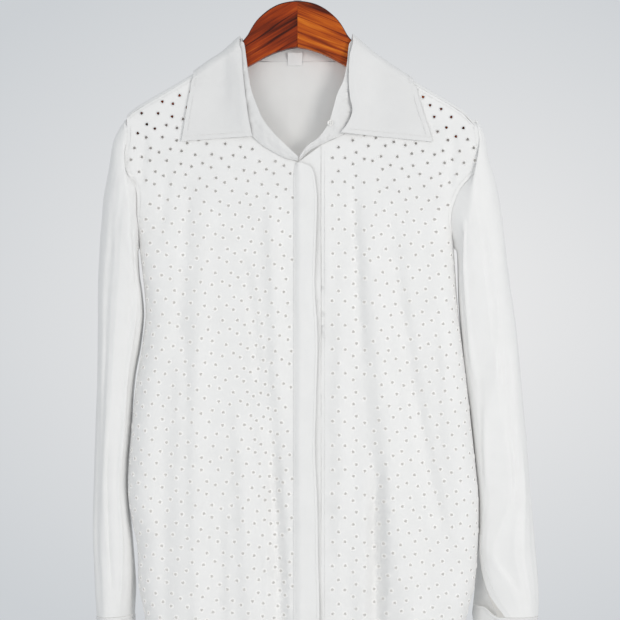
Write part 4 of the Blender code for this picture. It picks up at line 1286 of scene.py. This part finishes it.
def addLabel():
    points, lays = [], []
    rows, columns = label["rows"], label["columns"]
    for r in range(rows):
        down = r / (rows - 1)
        for c in range(columns):
            across = c / (columns - 1)
            x = label["left"] + (label["right"] - label["left"]) * across
            y = label["y"] - label["curl"] * sin(pi * across) * down
            y += label["wave"] * sin(3 * across + 2 * down)
            drop = label["top"] + (label["low"] - label["top"]) * down
            points.append(Vector((x, y, -drop)))
            lays.append((x, drop))
    made = clothPiece("labelSize", points, netFaces(rows, columns), lays,
                      lambda centre: Vector((0, -1, 0)), [labelSatin, labelSatin],
                      thick=label["thick"])
    seat(made, "label_white", "label_size")


addLabel()

# the wooden hanger: two sawn halves with rounded edges, glued on the centre line.
# arch, under: distance from the centre and drop of the upper and the lower edge. tip: where
# the arm's end begins to narrow. stations: distances of the outline's points.
# woods: turn of the grain, how much darker it is towards the centre line and lower down, tones from
# dark to light
hanger = {"thick": 16, "deep": 31, "reach": 194, "tip": 175, "tipShrink": 0.46, "archEnd": 62,
          "archTop": 66, "topRound": 7.4, "archRound": 1.8, "lowRound": 3.2, "roundOver": 26,
          "roundSteps": 6, "paintedShadeReach": 80,
          "stations": [0.03, 4, 8, 12, 16, 20, 24, 28, 32, 36, 40, 44, 47, 50, 53, 55.5, 57, 60,
                       63, 68, 77, 84, 90, 97, 105, 112, 120, 128, 136, 144, 152, 160, 168, 175,
                       181, 186, 190, 192.5, 194],
          "arch": [(0, 65), (10, 65.9), (21, 68.6), (30, 73), (36, 77.1), (44.4, 84.5), (50, 91.3),
                   (54.3, 98.4), (58, 105), (62, 109.6)],
          "under": [(0, 118.2), (12, 120.3), (27, 125), (37, 129.6), (48, 135.7), (59, 141.8),
                    (80, 156)],
          "darkWood": {"turn": -31, "shade": 0.14,
                       "tones": [(0.045, 0.005, 0.001), (0.19, 0.021, 0.002), (0.33, 0.042, 0.003),
                                 (0.52, 0.11, 0.008)]},
          "warmWood": {"turn": 21, "shade": 0.0,
                       "tones": [(0.07, 0.008, 0.001), (0.29, 0.040, 0.003), (0.46, 0.088, 0.005),
                                 (0.66, 0.19, 0.014)]},
          # painted shade wood: a near-black wood for the upward faces of the arch, painted shade
          # along its top edge
          "paintedShadeWood": {"turn": 0, "shade": 0.0,
                       "tones": [(0.012, 0.002, 0.001), (0.05, 0.006, 0.002), (0.09, 0.012, 0.003),
                                 (0.13, 0.02, 0.004)]}}


def woodLook(name, wood):
    made, flat, shader = newMaterial(name, Specular_IOR_Level=0.13, Coat_Roughness=0.16, IOR=1.5)
    place = flat.node("ShaderNodeTexCoord", out=3)
    x = flat.node("ShaderNodeSeparateXYZ", Vector=place)
    z = flat.node("ShaderNodeSeparateXYZ", out=2, Vector=place)
    # darker towards the centre line and lower down
    lowTowardsCentre = ((x * 1000 + 46) * 0.03).limit() * ((z * -1000 - 84) * 0.04).limit()
    sawn = (0, radians(wood["turn"]), 0)

    def grain(along, deep, across):
        return flat.node("ShaderNodeMapping", {"vector_type": "TEXTURE"}, Vector=place,
                         Rotation=sawn, Scale=(along * mm, deep * mm, across * mm))
    broad = flat.noise(grain(130, 16, 15), 1.0, 3.0, 0.55)
    fine = flat.noise(grain(55, 3.3, 2.4), 1.0, 4.0, 0.62)
    dark = flat.noise(grain(190, 11, 7.5), 1.0, 1.0, 0.4)
    line = (1 - flat.math("ABSOLUTE", dark - 0.5) * 17.0).limit()
    tone = (broad * 1.4 + fine * 0.9 - 0.67 - line * 0.34 - lowTowardsCentre * wood["shade"]).limit()
    stops = [(at, colour) for at, colour in zip((0.1, 0.36, 0.58, 0.85), wood["tones"])]
    flat.put(shader.inputs["Base Color"],
             flat.node("ShaderNodeValToRGB", {"stops": stops}, Fac=tone))
    flat.put(shader.inputs["Roughness"], 0.30 + (1 - fine) * 0.16)
    flat.put(shader.inputs["Coat Weight"], 0.10 + broad * 0.08)
    flat.put(shader.inputs["Normal"], flat.bump(fine - line * 0.5, 0.25, 0.0002))
    return made


def hangerTop(away):
    if away <= hanger["archEnd"]:
        return tableValue(hanger["arch"], 1, away)
    under = ridgeDrop(away) + body["shoulderRadius"] - hanger["thick"] / 2
    return under + 0.2 + max(away - 170, 0) * 0.1


def hangerLow(away):
    for (a, low), (b, high) in zip(hanger["under"], hanger["under"][1:]):
        if a <= away <= b:
            return low + (high - low) * (away - a) / (b - a)
    return hangerTop(away) + hanger["deep"] * 1.17


def addHangerHalf(name, node, side, look, slot):
    upper, lower = [], []
    for away in hanger["stations"]:
        top, low = hangerTop(away), hangerLow(away)
        if away > hanger["tip"]:
            share = (away - hanger["tip"]) / (hanger["reach"] - hanger["tip"])
            shrink = 1 - hanger["tipShrink"] * (1 - sqrt(max(1 - share * share, 0)))
            low = top + max((low - top) * shrink, hanger["thick"] + 2)
        upper.append((side * away, top))
        lower.append((side * away, low))
    bm = bmesh.new()
    outline = [bm.verts.new((x, -hanger["thick"] / 2, -drop)) for x, drop in upper + lower[::-1]]
    face = bm.faces.new(outline)
    thick = bmesh.ops.extrude_face_region(bm, geom=[face])
    far = [item for item in thick["geom"] if isinstance(item, bmesh.types.BMVert)]
    bmesh.ops.translate(bm, vec=(0, hanger["thick"], 0), verts=far)
    bmesh.ops.recalc_face_normals(bm, faces=bm.faces)
    topPlaces = {(round(x, 3), round(-drop, 3)) for x, drop in upper}
    lowPlaces = {(round(x, 3), round(-drop, 3)) for x, drop in lower}

    # small rounding on the arch, growing to the full one along the arm
    rounding = bm.edges.layers.float.new("bevel_weight_edge")
    for edge in bm.edges:
        ends = [(round(vert.co.x, 3), round(vert.co.z, 3)) for vert in edge.verts]
        if abs(edge.verts[0].co.y - edge.verts[1].co.y) > 0.01:
            continue
        if all(end in topPlaces for end in ends):
            away = abs(ends[0][0] + ends[1][0]) / 2
            grown = soft((away - hanger["archEnd"]) / hanger["roundOver"])
            much = hanger["archRound"] + (hanger["topRound"] - hanger["archRound"]) * grown
            edge[rounding] = much / hanger["topRound"]
        elif all(end in lowPlaces for end in ends):
            edge[rounding] = hanger["lowRound"] / hanger["topRound"]
    bmesh.ops.triangulate(bm, faces=[face for face in bm.faces if len(face.verts) > 4])
    bmesh.ops.scale(bm, vec=(mm, mm, mm), verts=bm.verts)
    for face in bm.faces:
        face.smooth = True
    made = newPiece(name, bm)
    softened = made.modifiers.new("rounded", "BEVEL")
    softened.limit_method = "WEIGHT"
    softened.width = hanger["topRound"] * mm
    softened.segments = hanger["roundSteps"]
    softened.use_clamp_overlap = False
    mesh = applyModifiers(made)
    mesh.name = name
    mesh.materials.append(look)
    mesh.materials.append(paintedShadeLook)
    # faces turned upwards near the arch get the painted shade wood, for the shade along the top
    # edge
    for face in mesh.polygons:
        inPaintedShade = face.normal.z > 0.3 and abs(face.center.x) < hanger["paintedShadeReach"] * mm
        face.material_index = 1 if inPaintedShade else 0
    mesh.set_sharp_from_angle(angle=radians(32))
    seat(made, slot, node)
    print(name, "faces", len(mesh.polygons))


# painted shade for the arch's top edge
paintedShadeLook = woodLook("woodPaintedShade", hanger["paintedShadeWood"])
addHangerHalf("hangerRight", "hanger_right", -1, woodLook("woodDark", hanger["darkWood"]),
              "wood_dark")
addHangerHalf("hangerLeft", "hanger_left", 1, woodLook("woodWarm", hanger["warmWood"]),
              "wood_warm")

# the hook: a bent wire, a ferrule where it enters the wood and a small ball at its tip.
# neck: x and place below the bend's middle. ferrule: mm beyond the wire, mm above the wood
hook = {"wire": 3.6, "bend": 21, "sides": 14, "ball": 1.25,
        "neck": [(0, 22), (3, 17), (9, 15), (15, 12)],
        "ferrule": [(0.1, 7), (1.4, 6.4), (2.6, 3), (3.4, 0.8), (3.6, -0.4)]}


def steelLook():
    made, flat, shader = newMaterial("steel", Metallic=1.0)
    place = flat.node("ShaderNodeTexCoord", out=3)
    drawn = flat.node("ShaderNodeMapping", Vector=place, Scale=(900, 900, 40))
    scratch = flat.noise(drawn, 1.0, 3.0, 0.6)
    cloud = flat.noise(place, 60.0)
    flat.put(shader.inputs["Base Color"], flat.blend(cloud, (0.72, 0.72, 0.73), (0.62, 0.62, 0.64)))
    flat.put(shader.inputs["Roughness"], 0.16 + scratch * 0.14)
    flat.put(shader.inputs["Normal"], flat.bump(scratch, 0.08, 0.0001))
    return made


def addHook():
    middleDrop = hook["bend"] - hook["wire"] / 2
    path = [Vector((0, 0, -(hanger["archTop"] - 0.3)))]
    path += [Vector((x, 0, -(middleDrop + low))) for x, low in hook["neck"]]
    for turn in range(-35, 196, 15):
        x, high = hook["bend"] * cos(radians(turn)), hook["bend"] * sin(radians(turn))
        path.append(Vector((x, 0, -(middleDrop - high))))
    fine = smoothRun(path, 4)
    bm = bmesh.new()
    radius = hook["wire"] / 2
    rings = []
    for i, point in enumerate(fine):
        ahead = (fine[min(i + 1, len(fine) - 1)] - fine[max(i - 1, 0)]).normalized()
        side = Vector((0, 1, 0))
        up = ahead.cross(side)
        rings.append([bm.verts.new(point + (side * cos(2 * pi * k / hook["sides"])
                                            + up * sin(2 * pi * k / hook["sides"])) * radius)
                      for k in range(hook["sides"])])
    for first, second in zip(rings, rings[1:]):
        for k in range(hook["sides"]):
            after = (k + 1) % hook["sides"]
            bm.faces.new((first[k], first[after], second[after], second[k]))
    bm.faces.new(rings[0])
    bm.faces.new(rings[-1])
    bmesh.ops.create_uvsphere(bm, u_segments=16, v_segments=10, radius=radius * hook["ball"],
                              matrix=Matrix.Translation(fine[-1]))
    turnProfile(bm, [(radius + more, -(hanger["archTop"] - high))
                     for more, high in hook["ferrule"]])
    bmesh.ops.recalc_face_normals(bm, faces=bm.faces)
    bmesh.ops.scale(bm, vec=(mm, mm, mm), verts=bm.verts)
    for face in bm.faces:
        face.smooth = True
    made = newPiece("hookWire", bm, steelLook())
    made.data.set_sharp_from_angle(angle=radians(50))
    seat(made, "steel", "hook")


addHook()
print("hanger and hook made")

# stitching: every row of stitches that holds the shirt together, as one piece. The from...
# values say how far in from an edge a row lies, and proud how far above the cloth
stitch = {"pitch": 3.1, "long": 2.3, "thick": 0.2, "sides": 5, "proud": 0.12, "fromHem": 14,
          "fromShoulder": 3.2, "fromArmhole": 4.2, "fromCollar": 5.5, "fromStand": 2.2,
          "fallProud": 0.75, "standProud": 0.7, "cuffProud": 0.35,
          "bandShares": (0.09, 0.9), "bandSeamX": 31.2, "onCuff": {-1: (3.0, 58.0), 1: (3.0, 59.0)}}
sewnRows = []


# evenly spaced places along a run of points, with the run's way at each
def alongRow(points, pitch):
    places, left = [], pitch / 2
    for first, second in zip(points, points[1:]):
        gap = (second - first).length
        at = left
        while at < gap:
            places.append((first.lerp(second, at / gap), (second - first).normalized()))
            at += pitch
        left = at - gap
    return places


# a row on the front or back, from places along and down the cloth
def bodyRow(places, face):
    raised = body["thick"] / 2 + stitch["proud"]
    sewnRows.append([bodyPoint(s, drop, face, raised) for s, drop in places])


# a row a little above the given points, where away tells the way out at a point
def netRow(path, away, raised):
    sewnRows.append([point + away(point).normalized() * raised for point in path])


# the point of a run that lies a distance in from its end
def inFromEnd(run, distance):
    left = distance
    for i in range(len(run) - 1, 0, -1):
        gap = (run[i] - run[i - 1]).length
        if gap >= left:
            return run[i].lerp(run[i - 1], left / gap)
        left -= gap
    return run[0]


# places along the hem's row from one place across to another
def hemRow(first, last, pieces):
    across = [first + (last - first) * k / pieces for k in range(pieces + 1)]
    return [(s, hemDropAt(s) - stitch["fromHem"]) for s in across]


# places beside the armhole, where firstTurn is the first of 40 turns from its top
def armRow(side, face, firstTurn):
    drops = [armDrop(pi * k / 40) for k in range(firstTurn, 38)]
    return [(side * (clothHalf(side, drop, face) - stitch["fromArmhole"]), drop)
            for drop in drops]


def addBodyRows():
    for side, made in ((-1, front["right"]), (1, front["left"])):
        reach = side * (clothHalf(side, hemSide, -1) - 2)
        bodyRow(hemRow(made["inner"] + side * 2, reach, 40), -1)
        tip = edgeAt(side, armTop) - 5
        bodyRow([(side * s, ridgeDrop(s) + body["frontRoll"] + stitch["fromShoulder"]) for s in
                 [78 + (tip - 78) * k / 20 for k in range(21)]], -1)
        bodyRow(armRow(side, -1, 6), -1)
        bodyRow(armRow(side, 1, 8), 1)
    reach = clothHalf(1, hemSide, 1) - 2
    bodyRow(hemRow(-reach, reach, 80), 1)
    bodyRow([(stitch["bandSeamX"], drop) for drop in range(238, 848, 5)], -1)
    lift = Vector((0, band["thick"] / 2 + stitch["proud"], 0))
    for share in stitch["bandShares"]:
        sewnRows.append([bandPoint(share, drop, band["outer"], band["proud"]) - lift
                         for drop in range(262, 850, 5)])


# the row along one end of the fall, which starts at the given ring and runs inwards by step
def fallEndRow(first, step):
    row = [inFromEnd([fallNet[first + step * r][c] for r in range(12, -1, -1)],
                     stitch["fromCollar"]) for c in range(4, len(fallNet[0]))]
    return [point for point in row if (point - fallNet[first][-1]).length > 5]


def addCollarRows():
    lift = collar["thick"] / 2 + stitch["fallProud"]
    edge = [inFromEnd(ring, stitch["fromCollar"]) for ring in fallNet]
    for row in (fallEndRow(0, 1), edge[4:-4], fallEndRow(-1, -1)):
        netRow(row, onCollar, lift)
    row = [inFromEnd(ring[::-1], stitch["fromStand"]) for ring in standNet]
    netRow(row, neckAway, stitch["standProud"])
    netRow(row, lambda point: -neckAway(point), stitch["standProud"])


def addCuffRows():
    lift = cuff["thick"] / 2 + stitch["cuffProud"]
    for side, rings in cuffs.items():
        for distance in stitch["onCuff"][side]:
            path = [inFromEnd([ring[k] for ring in rings][::-1], distance)
                    for k in range(cuff["around"])]
            netRow(path + path[:1], lambda point: cuffAway(side, point), lift)


def addStitching():
    addBodyRows()
    addCollarRows()
    addCuffRows()
    bm = bmesh.new()
    count = 0
    for points in sewnRows:
        for place, along in alongRow(points, stitch["pitch"]):
            turn = along.to_track_quat("Z", "Y").to_matrix().to_4x4()
            turn.translation = place
            bmesh.ops.create_cone(bm, cap_ends=True, segments=stitch["sides"],
                                  radius1=stitch["thick"], radius2=stitch["thick"],
                                  depth=stitch["long"], matrix=Matrix.Scale(mm, 4) @ turn)
            count += 1
    for face in bm.faces:
        face.smooth = len(face.verts) == 4
    seat(newPiece("stitching", bm, threadPlain), "plain_cotton")
    print("stitches", count)


addStitching()

# the small button near the open end of the stand
standButton = {"x": 38.2, "drop": 207, "proud": 2.3, "size": 7, "facing": (0.1, -1, 0.1)}
onStand = min((point for ring in standNet for point in ring if point.y < 0), key=lambda point:
              hypot(point.x - standButton["x"], point.z + standButton["drop"]))
addButton("buttonStand", [], onStand + Vector((0, -standButton["proud"], 0)),
          Vector(standButton["facing"]), size=standButton["size"])

# a pale floor well below the hem, which isn't part of the object
floor = {"radius": 1500, "drop": 1250, "tones": ((0.70, 0.71, 0.72), (0.66, 0.67, 0.68))}


def addFloor():
    bm = bmesh.new()
    bmesh.ops.create_circle(bm, cap_ends=True, segments=96, radius=floor["radius"] * mm)
    bmesh.ops.translate(bm, vec=(0, 0, -floor["drop"] * mm), verts=bm.verts)
    look, flat, shader = newMaterial("paleFloor", Roughness=0.8)
    place = flat.node("ShaderNodeTexCoord", out=3)
    flat.put(shader.inputs["Base Color"], flat.blend(flat.noise(place, 3.0), *floor["tones"]))
    newPiece("floor", bm, look)


addFloor()
print("scene finished")
